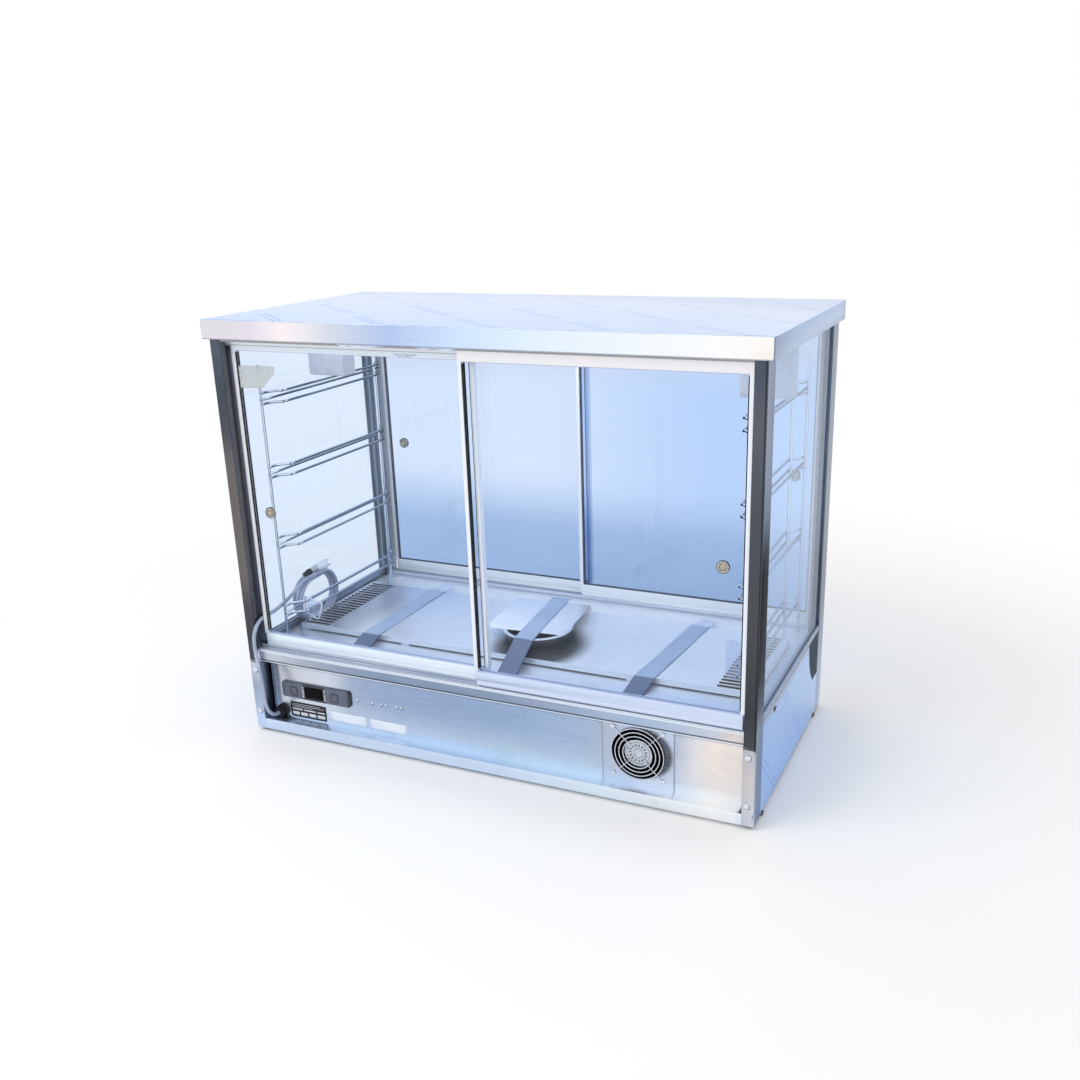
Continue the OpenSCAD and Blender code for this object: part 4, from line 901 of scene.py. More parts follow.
def wire_finish():
    """Chromed wire with painted reflections: each point carries how far its surface turns to the front and up,
    and the colour runs from near black where it turns away to near white where it faces there, as chrome
    reflects a pale room."""
    finish = Finish("bright_wire")
    turned = finish.node("Attribute", {"attribute_name": "turned"}, out=2)
    fine = finish.noise(700, 2, 0.6)
    hue = (turned + (fine - 0.5) * 0.1).ramp([
        (0.0, (22, 32, 40)), (0.58, (32, 44, 54)), (0.72, (72, 90, 106)),
        (0.80, (176, 196, 220)), (0.87, (246, 250, 255)), (1.0, (226, 236, 248)),
    ])
    hue = ((1 - finish.z.rise(300, 560)) * 0.4).blend(hue, (206, 220, 238))
    return finish.done(Base_Color=hue, Metallic=0.8, Roughness=0.24 + fine * 0.1,
                       Normal=finish.bump(fine, 0.06, 0.0002))


bright_wire = wire_finish()
plain_wire = bright_metal("plain_wire", (206, 214, 230), (232, 238, 248), rough=0.2)
zinc = bright_metal("zinc", (214, 218, 228), (240, 243, 250), rough=0.26, scale=300)
seal_rubber = moulded("seal_rubber", (60, 66, 76), (84, 90, 100), rough=0.5)


def front_seal_finish():
    """The front doors' seals: a thin dark line along the stiles, and clear, so pale, along the rails."""
    finish = Finish("front_seal")
    grain = finish.noise(300, 2, 0.6)
    rail = (1 - finish.z.rise(236, 238)).either(finish.z.rise(860, 862))
    hue = rail.blend((22, 30, 34), (186, 200, 230))
    return finish.done(Base_Color=hue, Roughness=0.4 + grain * 0.2, Specular_IOR_Level=0.25)


front_seal = front_seal_finish()
pull_steel = bright_metal("pull_steel", (146, 144, 140), (196, 194, 190), rough=0.24, scale=300)
control_plastic = moulded("control_plastic", (92, 92, 108), (104, 104, 120), rough=0.42, scale=40)
button_plastic = moulded("button_plastic", (84, 86, 102), (98, 100, 116), rough=0.4)
display_glass = moulded("display_glass", (1, 1, 2), (3, 3, 4), rough=0.16, bump=0.0, shine=0.08)
fan_black = moulded("fan_black", (6, 6, 8), (14, 14, 17), rough=0.45, shine=0.15)
gland_black = moulded("gland_black", (4, 4, 6), (12, 12, 15), rough=0.3, shine=0.25)
foot_rubber = moulded("foot_rubber", (60, 62, 66), (84, 86, 92), rough=0.6)
ceramic = moulded("ceramic", (226, 222, 208), (240, 238, 228), rough=0.5)
heater_metal = bright_metal("heater_metal", (84, 80, 78), (112, 104, 98), rough=0.45)

for look, nodes in (
    (steel_panel, "front_panel"), (steel_fan_plate, "fan_plate"), (steel_ledge, "upper_ledge"),
    (steel_plinth, "plinth"), (steel_tray, "air_tray"), (steel_pan, "water_pan"), (steel_cover, "pan_cover"),
    (steel_deck, "deck ceiling_panel"), (steel_rear, "rear_panel top_slab"), (steel_inside, "base_floor"),
    (steel_rear_post, "post_rear_left post_rear_right"), (bracket_left, "bracket_plates"),
    (post_left, "post_front_left"), (post_right, "post_front_right"), (track_aluminium, "bottom_tracks"),
    (channel_grey, "glass_channels"), (top_aluminium, "top_tracks"),
    (front_seal, "front_left_seal front_right_seal"), (seal_rubber, "rear_left_seal rear_right_seal"),
    (zinc, "pan_screws panel_rivets front_left_pull front_right_pull rear_left_pull rear_right_pull"),
    (plain_wire, "rack_left rack_right fan_guard"), (control_plastic, "controller"),
    (button_plastic, "button_left button_right"), (display_glass, "controller_display"),
    (fan_black, "fan_frame fan_rotor"), (gland_black, "cord_gland"), (foot_rubber, "feet"),
    (heater_metal, "heating_elements"), (ceramic, "terminal_block packing_blocks"),
    (grey_rubber, "packing_straps"),
):
    dress(look, nodes)
print("finishes so far", len(bpy.data.materials))

# %% [markdown]
# ## Softened edges
# A solid straight from CAD has knife edges, and no bent or moulded part has those. A merged copy of the node
# gets a small bevel, catches the light along its edges and stands for the node.

# %% Softened copies
def softened(node, width, material, segments=2):
    """A copy of a CAD node with its doubled points merged, its flat faces made whole and its edges rounded
    to width millimetres. It replaces the node."""
    source = frame["nodes"][node]
    work = bmesh.new()
    work.from_mesh(source.data)
    bmesh.ops.remove_doubles(work, verts=work.verts, dist=2e-5)
    bmesh.ops.dissolve_limit(work, angle_limit=math.radians(0.6), verts=work.verts, edges=work.edges)
    piece = new_piece(node + "_soft", work)
    bevel = piece.modifiers.new("edges", "BEVEL")
    bevel.width = width / 1000
    bevel.segments = segments
    bevel.limit_method = "ANGLE"
    bevel.angle_limit = math.radians(32)
    bevel.harden_normals = True
    finished(piece, material, source["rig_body"])
    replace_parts(piece, node)
    return piece


soft_jobs = [
    ("upper_ledge", 0.7, steel_ledge, "stainless"),
    ("plinth", 0.7, steel_plinth, "stainless"), ("post_front_left", 0.6, post_left, "stainless_dark"),
    ("post_front_right", 0.6, post_right, "stainless_dark"), ("pan_cover", 0.5, steel_cover, "stainless"),
    ("front_left_frame", 0.5, aluminium_left, "aluminium"),
    ("front_right_frame", 0.5, aluminium_right, "aluminium"),
    ("rear_left_frame", 0.5, aluminium_rear, "aluminium"),
    ("rear_right_frame", 0.5, aluminium_rear, "aluminium"),
    ("feet", 0.8, foot_rubber, "foot"),
]
for node, width, material, slot in soft_jobs:
    softened(node, width, material)
brackets = softened("bracket_plates", 0.5, bracket_left)
brackets.data.materials.append(bracket_right)
middles = np.array([p.center.x for p in brackets.data.polygons])
brackets.data.polygons.foreach_set("material_index", (middles > 0).astype(np.int32))
print("softened", len(soft_jobs), "nodes")

# %% [markdown]
# ## The slab and its film
# The slab is folded sheet with bends of about two millimetres. Its top still wears the protective film, so
# the film's finish is laid over the top face by height, and the edges stay bare steel.

# %% Slab
def slab_finish():
    """Bare brushed steel on the folded edges and film on the top, changed over just under the top face. The
    steel's stops along the front and along the sides are painted reflections, with a painted shade line along
    the front face's lower edge. The film has a straight deeper line along its front edge and one broad, soft,
    darker band across."""
    finish = Finish("slab_steel_and_film")
    grained = finish.noise(420, 2, 0.7, (0.02, 1, 1))
    cloud = finish.noise(5, 4, 0.6)
    share = finish.x / slab_w + (cloud - 0.5) * 0.03
    # Front face: painted reflections along it.
    front = share.ramp([
        (0.000, (226, 222, 231)), (0.05, (227, 222, 229)), (0.10, (229, 224, 236)), (0.167, (253, 243, 246)),
        (0.22, (236, 234, 242)), (0.267, (214, 219, 233)), (0.375, (179, 200, 241)), (0.50, (206, 228, 255)),
        (0.625, (226, 241, 255)), (0.75, (238, 246, 255)), (0.917, (252, 253, 255)), (1.00, (253, 248, 242)),
    ])
    # A warm brownish patch on the front face near its right end, below its top.
    patchy = (finish.x + finish.z * -0.6).rise(610, 640) * (1 - finish.z.rise(902, 912)) * cloud.rise(0.35, 0.6)
    front = (patchy * 0.55).blend(front, (206, 188, 172))
    # Painted shade: a dark line along the front face's lower edge.
    front = ruled(finish, front, [("z", 888, 892.2, 0.6, (96, 106, 128), 0.6)])
    # Sides: painted reflections, darker at the front and the rear.
    flank = (finish.y / slab_d + (cloud - 0.5) * 0.1).ramp([
        (0.0, (130, 150, 182)), (0.05, (137, 158, 190)), (0.25, (153, 178, 213)), (0.75, (161, 184, 219)),
        (0.93, (161, 184, 219)), (1.0, (128, 150, 186)),
    ])
    side = finish.x.rise(1197.5, 1199).either(1 - finish.x.rise(1, 2.5))
    steel = side.blend(front, flank)
    steel = (finish.x.within(1197.6, 1199.4, 0.4) * (1 - finish.y.rise(1.6, 2.2)) * 0.6).blend(
        steel, (90, 102, 124))
    steel = (grained.rise(0.3, 0.8) * 0.10).blend(steel, (255, 255, 255))
    streak = finish.noise(26, 3, 0.6, (0.10, 1, 1), (0, 0, 0.12)).rise(0.5, 0.8)
    mark = dashes(finish, finish.x - finish.y + 137, finish.x + finish.y * 1.125 - 92, 425, 238, 320, 9)
    film = film_colour(finish, (190, 212, 251), (197, 217, 253), streak, (98, 148, 234), mark, 0.5)
    film = (finish.y.rise(380, 560) * 0.35).blend(film, (168, 200, 250))
    film = ((finish.x + (cloud - 0.5) * 60).within(940, 1050, 40) * 0.25).blend(film, (168, 196, 240))
    film = (finish.y.within(2.6, 9.0, 0.8) * 0.85).blend(film, (104, 152, 232))
    top = finish.z.rise(929.0, 929.6)
    wrinkle = finish.noise(46, 3, 0.5, (0.25, 1, 1))
    return finish.done(
        Base_Color=top.blend(steel, film),
        Metallic=1.0 - top * 0.6,
        Roughness=0.28 + (grained - 0.5) * 0.14 - top * 0.04,
        Coat_Weight=top * 0.25, Coat_Roughness=0.06,
        Normal=finish.bump(grained * (1 - top) + wrinkle * top, 0.08, 0.0006),
    )


softened("top_slab", 1.6, slab_finish(), segments=3)


def film_edge():
    """The film's front edge, lapped over the slab's edge in short torn scraps: a strip whose lower line is a
    sum of sines, broken where a slower sine is low."""
    x = np.linspace(150, 1150, 220)
    torn = 1.1 + 0.7 * np.sin(x * 0.021) + 0.35 * np.sin(x * 0.117 + 1) + 0.15 * np.sin(x * 0.37)
    rows = np.linspace(0, 1, 5)[:, None]
    lap = xyz(x, -0.35 - 0.25 * np.sin(rows * np.pi), 930.25 - rows * np.clip(torn, 0.35, 3))
    return leaf_piece("film_edge", np.concatenate([xyz(x, 4.0, 930.3)[None], lap]), 0.18)


film_scrap = moulded("film_scrap", (206, 224, 250), (226, 238, 255), rough=0.22, coat=0.4, bump=0.2)
finished(film_edge(), film_scrap, "cabinet")


def scrap(name, x0, points):
    """A ragged bit of film hanging below the slab's front edge: a strip whose lower line is a chosen list
    of depths, blended between."""
    x = np.linspace(x0, x0 + points[-1][0], 40)
    depth = np.interp(x - x0, [p[0] for p in points], [p[1] for p in points])
    rows = np.linspace(0, 1, 6)[:, None]
    return leaf_piece(name, xyz(x, 2.5 + 1.5 * rows * np.sin(x * 0.3), 890.5 - rows * depth), 0.2)


for name, x0, points in (
    ("film_rag_left", 330, [(0, 0.6), (14, 5), (30, 3), (52, 6), (80, 4), (120, 0.6)]),
    ("film_rag_middle", 508, [(0, 0.6), (20, 4), (44, 2), (70, 5), (96, 0.6)]),
):
    finished(scrap(name, x0, points), film_scrap, "cabinet")
print("slab edges and film scraps made")

# %% [markdown]
# ## Screws and rivets
# Pan-head screws have a low dome and a cross cut into it. The height over the head is the dome minus two
# crossing bands, so the recess is real geometry. Rivets are plain domes with a thin flange.

# %% Screws and rivets
def screw_head(x, y, z, d, h=2.4):
    """A head that faces the front: rings of points at radius r, whose height is h times the root of
    1 - 0.72 r^2, less a cross that fades out at six tenths of the radius."""
    share = np.array((0, 0.08, 0.16, 0.24, 0.32, 0.4, 0.5, 0.58, 0.66, 0.78, 0.9, 0.97, 1, 1))[:, None]
    angle = around(56)[None, :]
    u, v = share * np.cos(angle + 0.4), share * np.sin(angle + 0.4)
    dome = h * np.sqrt(1 - 0.72 * share**2)
    arm = np.maximum(1 - step(np.abs(u), 0.07, 0.13), 1 - step(np.abs(v), 0.07, 0.13))
    dome = dome - 0.9 * arm * (1 - step(share, 0.52, 0.66))
    dome[-1] = -0.2
    grid = xyz(x + share * np.cos(angle) * d / 2, y - dome, z + share * np.sin(angle) * d / 2)
    return grid_piece("head", grid, wrap_columns=True, close_ends=True)


fan_at = np.array((941.5, 96.5))
fan_hole = 52.5
screw_spots = [(x, z) for x in (26.6, 1173.4) for z in (45, 147)]
rivet_spots = [(x, 98.5) for x in (275, 315, 338, 350, 378, 389)]
heads = [screw_head(x, 8, z, 11.6, 2.8) for x, z in screw_spots]
heads += [screw_head(fan_at[0] + x, 36.6, fan_at[1] + z, 9.2)
          for x in (-fan_hole, fan_hole) for z in (-fan_hole, fan_hole)]
screws = finished(joined("pan_head_screws", heads), zinc, "cabinet")
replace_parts(screws, "pan_screws")
rivet_profile = [(-0.2, 0), (-0.2, 3.1), (0.4, 3.1), (0.6, 2.7), (1.2, 2.3), (1.7, 1.6), (1.95, 0.8), (2.0, 0)]


def shadow_disc(x, y, z, r, sides):
    """A thin dark disc under a head and a little off its middle, which shows as a dark line beside it: a
    painted shadow.
    """
    return lathe_piece("rim", (x + 0.9, y, z), (0, -1, 0), [(0, 0), (0, r), (0.35, r - 0.1), (0.35, 0)], sides)


# Painted shadows: dark discs that show beside the rivets' and the screws' heads.
head_shadows = [shadow_disc(x, panel_y - 0.1, z - 1.1, 3.5, 24) for x, z in rivet_spots]
head_shadows += [shadow_disc(x, 7.9, z - 1.3, 6.2, 32) for x, z in screw_spots]
rim_steel = moulded("rim_steel", (64, 80, 104), (92, 110, 136), rough=0.4)
finished(joined("screw_seats", head_shadows), rim_steel, "cabinet")
rivets = joined("rivet_domes", [
    lathe_piece("rivet", (x, panel_y, z), (0, -1, 0), rivet_profile, sides=24) for x, z in rivet_spots
])
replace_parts(finished(rivets, zinc, "cabinet"), "panel_rivets")
print("screws", len(heads), "rivets", len(rivet_spots))

# %% [markdown]
# ## Finger pulls
# Each door has a round cup pull let into its glass. One profile, turned round the pull's axis, gives the
# rolled rim on both faces and the shallow cup, whose floor has a finish of its own, in a warmer metal.

# %% Pulls
pull_profile = [
    (0.9, 0), (0.9, 5.4), (1.3, 6.2), (3.1, 6.7), (3.8, 7.6), (4.1, 9), (4.0, 10.4), (3.3, 11.6), (2.55, 12),
    (2.5, 8.9), (0, 8.9), (-2.5, 8.9), (-2.55, 12), (-3.3, 11.6), (-4.0, 10.4), (-4.1, 9), (-3.8, 7.6),
    (-3.1, 6.7), (-1.3, 6.2), (-0.9, 5.4), (-0.9, 0),
]
cup_metal = bright_metal("cup_metal", (168, 156, 138), (196, 186, 170), rough=0.3, scale=200)
# Dark rings at the pulls' rims: painted shade.
rim_dark = moulded("rim_dark", (30, 34, 42), (50, 56, 66), rough=0.4, shine=0.3)


def pull_piece(door):
    """The pull of one door, centred on its CAD node. Faces inside the rim's radius get the cup's finish."""
    low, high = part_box(door + "_pull")
    centre = (np.array(low) + np.array(high)) / 2
    at = (centre - corner) * 1000
    piece = lathe_piece(door + "_cup", at, (0, -1, 0), pull_profile, sides=64)
    finished(piece, pull_steel, door + "_door")
    piece.data.materials.append(cup_metal)
    points = np.array([p.center for p in piece.data.polygons])
    inner = np.hypot(points[:, 0] - centre[0], points[:, 2] - centre[2]) < 0.0060
    piece.data.polygons.foreach_set("material_index", inner.astype(np.int32))
    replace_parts(piece, door + "_pull")
    # Painted shade: two thin dark rings at the rim's outer and inner edges.
    outline = [hoop("outline", at - np.array((0, out, 0)), r, r, 0.45, 8, 64)
               for r, out in ((12.1, 2.6), (6.9, 3.0))]
    finished(joined(door + "_rim_lines", outline), rim_dark, door + "_door")


for door in ("front_left", "front_right", "rear_left", "rear_right"):
    pull_piece(door)
print("pulls made")

# %% [markdown]
# ## Wire racks
# Each rack is welded from round rod and wire. Every rod is a tube along a path, so the guides' soft jogs and
# the rods' rounded ends come out of the same function as the mains lead.

# %% Racks
rod_low, rod_high, rod_radius, wire_radius = 195, 825, 3, 2.8
rod_spots = [(58, 95), (58, 540), (80.3, 500)]
guide_levels = [276 + 163 * level for level in range(4)]


def rod(x, y):
    """An upright rod with a rounded top."""
    middle = (rod_low + rod_high) / 2
    z = np.array((rod_low, rod_low + 0.6, middle, rod_high - 2.4, rod_high - 1.0, rod_high - 0.3, rod_high))
    radius = rod_radius * np.array((0.86, 1, 1, 1, 0.82, 0.5, 0.12))
    return tube_piece("rod", xyz(x, y, z), radius, sides=16)


def guide(z):
    """A guide wire: it leaves the front upright, jogs inwards, runs back and jogs out again."""
    path = smooth_path([
        (63.7, 89, z), (63.7, 109, z), (66.2, 117, z), (74, 126, z), (82.6, 134.5, z), (85.5, 140, z),
        (86, 150, z), (86, 330, z), (86, 496, z), (85.5, 508, z), (82, 514.5, z), (74, 521, z),
        (66.2, 528.5, z), (63.7, 536, z), (63.7, 546, z),
    ], 6)
    radius = np.full(len(path), wire_radius)
    radius[[0, -1]] *= 0.55
    return tube_piece("guide", path, radius, sides=12, across=(0.02, 0.03, 1))


def rack_piece(side):
    """One rack: three rods, and at each level a pair of guides and the tie between them. The right one is
    the left one mirrored at the cabinet's middle."""
    rods = [rod(x, y) for x, y in rod_spots]
    for z in guide_levels:
        rods += [guide(z), guide(z - 24)]
        tie = np.linspace((63.7, 88, z - 14.4), (63.7, 546, z - 14.4), 12)
        rods.append(tube_piece("tie", tie, wire_radius, sides=12, across=(0.02, 0.03, 1)))
    rack = joined("rack_wires_" + side, rods)
    if side == "right":
        middle = metres((slab_w / 2, 0, 0))[0]
        rack.data.transform(Matrix.Translation((2 * middle, 0, 0)) @ Matrix.Scale(-1, 4, (1, 0, 0)))
        rack.data.flip_normals()
    # Each point's share of the wires' painted reflections: how far its normal turns to the front and up.
    turned = np.empty(3 * len(rack.data.vertices))
    rack.data.vertices.foreach_get("normal", turned)
    shade = rack.data.attributes.new("turned", "FLOAT", "POINT")
    shade.data.foreach_set("value", 0.5 + 0.5 * turned.reshape(-1, 3) @ unit(np.array((0.30, -0.80, 0.52))))
    finished(rack, bright_wire, "cabinet")
    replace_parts(rack, "rack_" + side)
    return rack


for side in ("left", "right"):
    print(side, "rack has", len(rack_piece(side).data.polygons), "faces")

# %% [markdown]
# ## The fan
# Behind a wire guard sits a black fan: a square duct, a fixed hub with a bright disc on it, and a rotor whose
# curved blades turn. The guard's rings close on themselves, so they are tubes that are loops. A blade is a
# grid from root to tip and from edge to edge, which leans more near the root than at the tip.

# %% Fan guard, hub disc and rotor
def guard_leg(turn):
    """A leg from the inner ring out to an eye, and the eye under the screw."""
    way = np.array((math.cos(turn), 0, math.sin(turn)))
    centre = np.array((fan_at[0], 0, fan_at[1]))
    reach = np.linspace(20.4, 69.8, 14)[:, None]
    leg = tube_piece("leg", centre + way * reach + np.array((0, 37.7, 0)), 1.1, sides=10, across=(0, 1, 0.1))
    return [leg, hoop("eye", centre + way * 74.25 + np.array((0, 37.7, 0)), 4.0, 4.0, 1.1, 10, 36)]


guard = [hoop("ring", (fan_at[0], 34.62, fan_at[1]), r, r, 1.1, 10, 72) for r in (55.9, 47.5, 39.1, 30.7)]
for turn in (45, 135, 225, 315):
    guard += guard_leg(math.radians(turn))
guard = finished(joined("fan_guard_wires", guard), zinc, "cabinet")
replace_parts(guard, "fan_guard")


def hub_finish():
    """A silver disc with rings etched into it, and short radial ticks between two of the rings."""
    finish = Finish("hub_disc")
    dx, dz = finish.x - float(fan_at[0]), finish.z - float(fan_at[1])
    r = dx.reach(dz)
    turn = finish.maths("ARCTAN2", dz, dx)
    ticks = turn.wrap(0.42).within(0.1, 0.3, 0.03)
    dark = r.within(9.2, 10.5, 0.3).either(r.within(23.4, 24.6, 0.3)).either(r.within(13.6, 19.8, 0.4) * ticks)
    cloud = finish.noise(140, 3, 0.6)
    hue = cloud.rise(0.3, 0.7).blend((190, 196, 208), (216, 221, 231))
    return finish.done(Base_Color=(dark * 0.75).blend(hue, (58, 60, 66)), Metallic=0.8,
                       Roughness=0.35 + (cloud - 0.5) * 0.2, Normal=finish.bump(1 - dark, 0.2, 0.0003))


hub_disc = lathe_piece("hub_disc", (fan_at[0], 41.2, fan_at[1]), (0, -1, 0), [
    (-0.4, 0), (-0.4, 29.0), (0.4, 29.4), (0.7, 28.6), (0.5, 26.8), (0.5, 25.6), (0.35, 24),
    (0.5, 22.4), (0.5, 0),
], sides=72)
finished(hub_disc, hub_finish(), "cabinet")


def blade(turn):
    """A curved blade: a share s runs from root to tip and t from edge to edge. The chord leans by 50 degrees
    at the root and 30 at the tip, and bows a little along itself."""
    s, t = np.meshgrid(np.linspace(0, 1, 12), np.linspace(-1, 1, 9), indexing="ij")
    r = 28 + 27 * s
    lean = np.radians(50 - 20 * s)
    chord = 10 + 1.5 * s
    sweep = turn + (t * chord * np.cos(lean) + 3 * s) / r
    y = 65.2 - t * chord * np.sin(lean) * 0.9 - 1.8 * (1 - t * t)
    return leaf_piece("blade", xyz(fan_at[0] + r * np.cos(sweep), y, fan_at[1] + r * np.sin(sweep)), 1.5)


rotor_hub = lathe_piece("rotor_hub", (fan_at[0], 65.2, fan_at[1]), (0, -1, 0), [
    (-10, 0), (-10, 29.4), (-9.4, 30), (9.2, 30), (9.9, 29.2), (10, 27), (10, 3), (21, 3), (21, 0),
], sides=56)
rotor = joined("fan_rotor_blades", [rotor_hub] + [blade(2 * math.pi * k / 7) for k in range(7)])
finished(rotor, fan_black, "fan_rotor")
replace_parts(rotor, "fan_rotor")
softened("fan_frame", 0.8, fan_black)
print("fan guard", len(guard.data.polygons), "faces, rotor", len(rotor.data.polygons))

# %% [markdown]
# ## The cable gland
# The gland is a black nylon nut with a domed cap over the lead. The nut is a lathe piece with six flat sides,
# and the cap is a smooth profile from the nut to the lead.

# %% Gland
gland_at = (66, panel_y, 38.5)
gland_nut = lathe_piece("gland_nut", gland_at, (0, -1, 0), [
    (-6, 0), (-6, 8.1), (0, 8.1), (0, 16.0), (0.6, 16.6), (7.4, 16.6), (8, 16.0), (8, 0),
], sides=6, smooth=False)
gland_cap = lathe_piece("gland_cap", gland_at, (0, -1, 0), [
    (7.9, 0), (7.9, 14.4), (9.5, 14.6), (12, 14.2), (14.2, 12.8), (15.8, 10.4), (17.0, 7.6), (17.7, 5.7),
    (18, 4.9), (17.4, 4.3), (12, 4.3), (12, 0),
], sides=48)
gland = finished(joined("gland_dome", [gland_nut, gland_cap]), gland_black, "cabinet")
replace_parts(gland, "cord_gland")
print("gland", len(gland.data.polygons), "faces")

# %% [markdown]
# ## The controller
# The controller is a moulded bezel with a dark window between two square buttons. The window's black glass
# stands slightly proud, the buttons have a raised border, and beside the window are columns of small white
# signs: dots, bars and rings that mean nothing in particular.

# %% Controller face
def controller_finish():
    """Grey-violet plastic, darker at both rounded ends and along the right end's edge, and nearly black in
    the middle strip round the window.
    """
    finish = Finish("controller_bezel")
    cloud, fine = finish.noise(40, 3, 0.6), finish.noise(900, 2, 0.6)
    ends = (1 - finish.x.rise(84, 86)).either(finish.x.rise(246, 248))
    middle = finish.x.within(132, 192, 0.5) * (1 - finish.y.rise(36.5, 37))
    hue = cloud.rise(0.3, 0.7).blend((86, 93, 112), (95, 102, 121))
    hue = (ends * 0.4).blend(hue, (70, 76, 94))
    hue = (finish.x.rise(251.5, 254) * 0.8).blend(hue, (30, 32, 40))
    hue = (middle * 0.85).blend(hue, (26, 28, 36))
    return finish.done(Base_Color=hue, Roughness=0.4 + (cloud - 0.5) * 0.2,
                       Normal=finish.bump(fine, 0.1, 0.0003))


softened("controller", 1.0, controller_finish(), segments=3)
softened("button_left", 0.7, button_plastic)
softened("button_right", 0.7, button_plastic)


def slab_leaf(name, x0, x1, z0, z1, y, thickness, corner_r=1.0, rows=9, columns=9, dish=0.0):
    """A flat leaf that faces the front: a square grid pulled in at its corners by a superellipse, with a
    slight dish over its face."""
    u, v = np.meshgrid(np.linspace(-1, 1, columns), np.linspace(-1, 1, rows))
    keep = 1 - (corner_r / (x1 - x0)) * (u * u * v * v) ** 2
    x = (x0 + x1) / 2 + u * keep * (x1 - x0) / 2
    z = (z0 + z1) / 2 + v * keep * (z1 - z0) / 2
    return leaf_piece(name, xyz(x, y - dish * (1 - u * u) * (1 - v * v), z), thickness)


display = slab_leaf("display_window", 137.4, 184.6, 82.6, 110.4, 34.9, 1.0, 1.5, dish=0.25)
finished(display, display_glass, "cabinet")
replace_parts(display, "controller_display")


border_dark = moulded("border_dark", (34, 36, 46), (48, 50, 60), rough=0.4)
for side, x in (("left", 106.5), ("right", 217)):
    border = hoop("button_border_" + side, (x, 34.45, 95), 9.0, 9.7, 0.8, 8, 48, square=0.86)
    finished(border, border_dark, "button_" + side)


def sign(kind, x, z):
    """A small white sign: a dot, a ring, a bar or a pair of bars."""
    if kind == "ring":
        return [hoop("sign", (x, 34.95, z), 1.7, 1.9, 0.5, 6, 20)]
    if kind == "dot":
        return [lathe_piece("sign", (x, 35.02, z), (0, -1, 0), [(0, 0), (0, 1.9), (0.14, 1.8), (0.14, 0)], 20)]
    bars = [z] if kind == "bar" else [z - 1.25, z + 1.25]
    return [slab_leaf("sign", x - 2.1, x + 2.1, at - 0.6, at + 0.6, 34.95, 0.12, 0.1, 3, 5) for at in bars]


signs = []
for x, kinds in (
    (131.8, ("dot", "ring", "bars", "ring", "bar")), (190.2, ("ring", "bars", "dot", "bar", "ring")),
):
    for row, kind in enumerate(kinds):
        signs += sign(kind, x, 85.0 + row * 5.6)
white_ink = moulded("white_ink", (240, 244, 252), (250, 252, 255), rough=0.5)
finished(joined("control_signs", signs), white_ink, "cabinet")
led = lathe_piece("display_lamp", (150, 34.3, 105.5), (0, -1, 0), [
    (-0.2, 0), (-0.2, 0.7), (0.1, 0.6), (0.2, 0),
], sides=20)
finished(led, moulded("lamp_red", (120, 24, 20), (150, 34, 26), rough=0.3), "cabinet")
print("signs", len(signs))

# %% [markdown]
# ## Plates and labels, left bare
# A black rating plate and two paper labels are stuck to the panel. The plate carries a few blank pale fields
# and thin lines, and the labels are blank. Each is a thin leaf, very slightly bowed as stuck paper is.

# %% Plates and labels
plate_black = moulded("plate_black", (14, 15, 20), (24, 25, 32), rough=0.38, coat=0.1)
paper_white = moulded("paper_white", (226, 236, 252), (238, 245, 254), rough=0.5, scale=25, bump=0.15)
field_white = moulded("field_white", (208, 212, 222), (226, 230, 238), rough=0.45)
plate = slab_leaf("rating_plate", 89, 187, 28, 65.5, panel_y - 0.3, 0.5, 2.0, dish=0.15)
finished(plate, plate_black, "cabinet")
field_edges = [
    (93, 112, 33, 41), (116, 135, 33, 41), (139, 158, 33, 41), (162, 183, 33, 41), (93, 122, 46, 49),
    (126, 158, 46, 49), (162, 183, 46, 49), (93, 150, 52.5, 53.3), (93, 183, 56.4, 57.2), (93, 170, 60.2, 61),
]
fields = [slab_leaf("field", *edges, panel_y - 0.75, 0.2, 0.4, 4, 6) for edges in field_edges]
finished(joined("rating_fields", fields), field_white, "cabinet")
for name, *edges in (("label_left", 195.5, 297.5, 35, 58.5), ("label_right", 304, 401, 34, 58)):
    label = slab_leaf(name, *edges, panel_y - 0.25, 0.35, 1.5, dish=0.25)
    finished(label, paper_white, "cabinet")
print("plate and labels made, fields", len(field_edges))

# %% [markdown]
# ## Packing foam and ribbon straps
# Two foam blocks are wedged under the ceiling and three satin straps hold the tray and the pan's cover down
# for transport. A block is a superellipsoid, nearly a box but with soft edges, and dented by a few slow waves.
# A strap is a thin leaf along a path: it lies on the tray, drops over the tray's edges and its ends curl.

# %% Foam blocks
def foam_block(name, low, high, seed):
    """A block from a sphere's two angles: each coordinate is the cosine or sine raised to a small power, so
    it reaches its full size early and the edges stay soft."""
    low, high = np.array(low, float), np.array(high, float)
    lat, lon = np.meshgrid(np.linspace(-np.pi / 2, np.pi / 2, 65), around(96), indexing="ij")

    def power(value, e=0.06):
        return np.sign(value) * np.abs(value) ** e

    shape = xyz(power(np.cos(lat)) * power(np.cos(lon)), power(np.cos(lat)) * power(np.sin(lon)),
                power(np.sin(lat)))
    dent = np.sin(shape[..., :1] * 5 + seed) * np.sin(shape[..., 1:2] * 4 + seed) * np.sin(shape[..., 2:] * 6)
    grid = (low + high) / 2 + shape * (high - low) / 2 * (0.985 - 0.012 * dent)
    return grid_piece(name, grid, wrap_columns=True, close_ends=True)


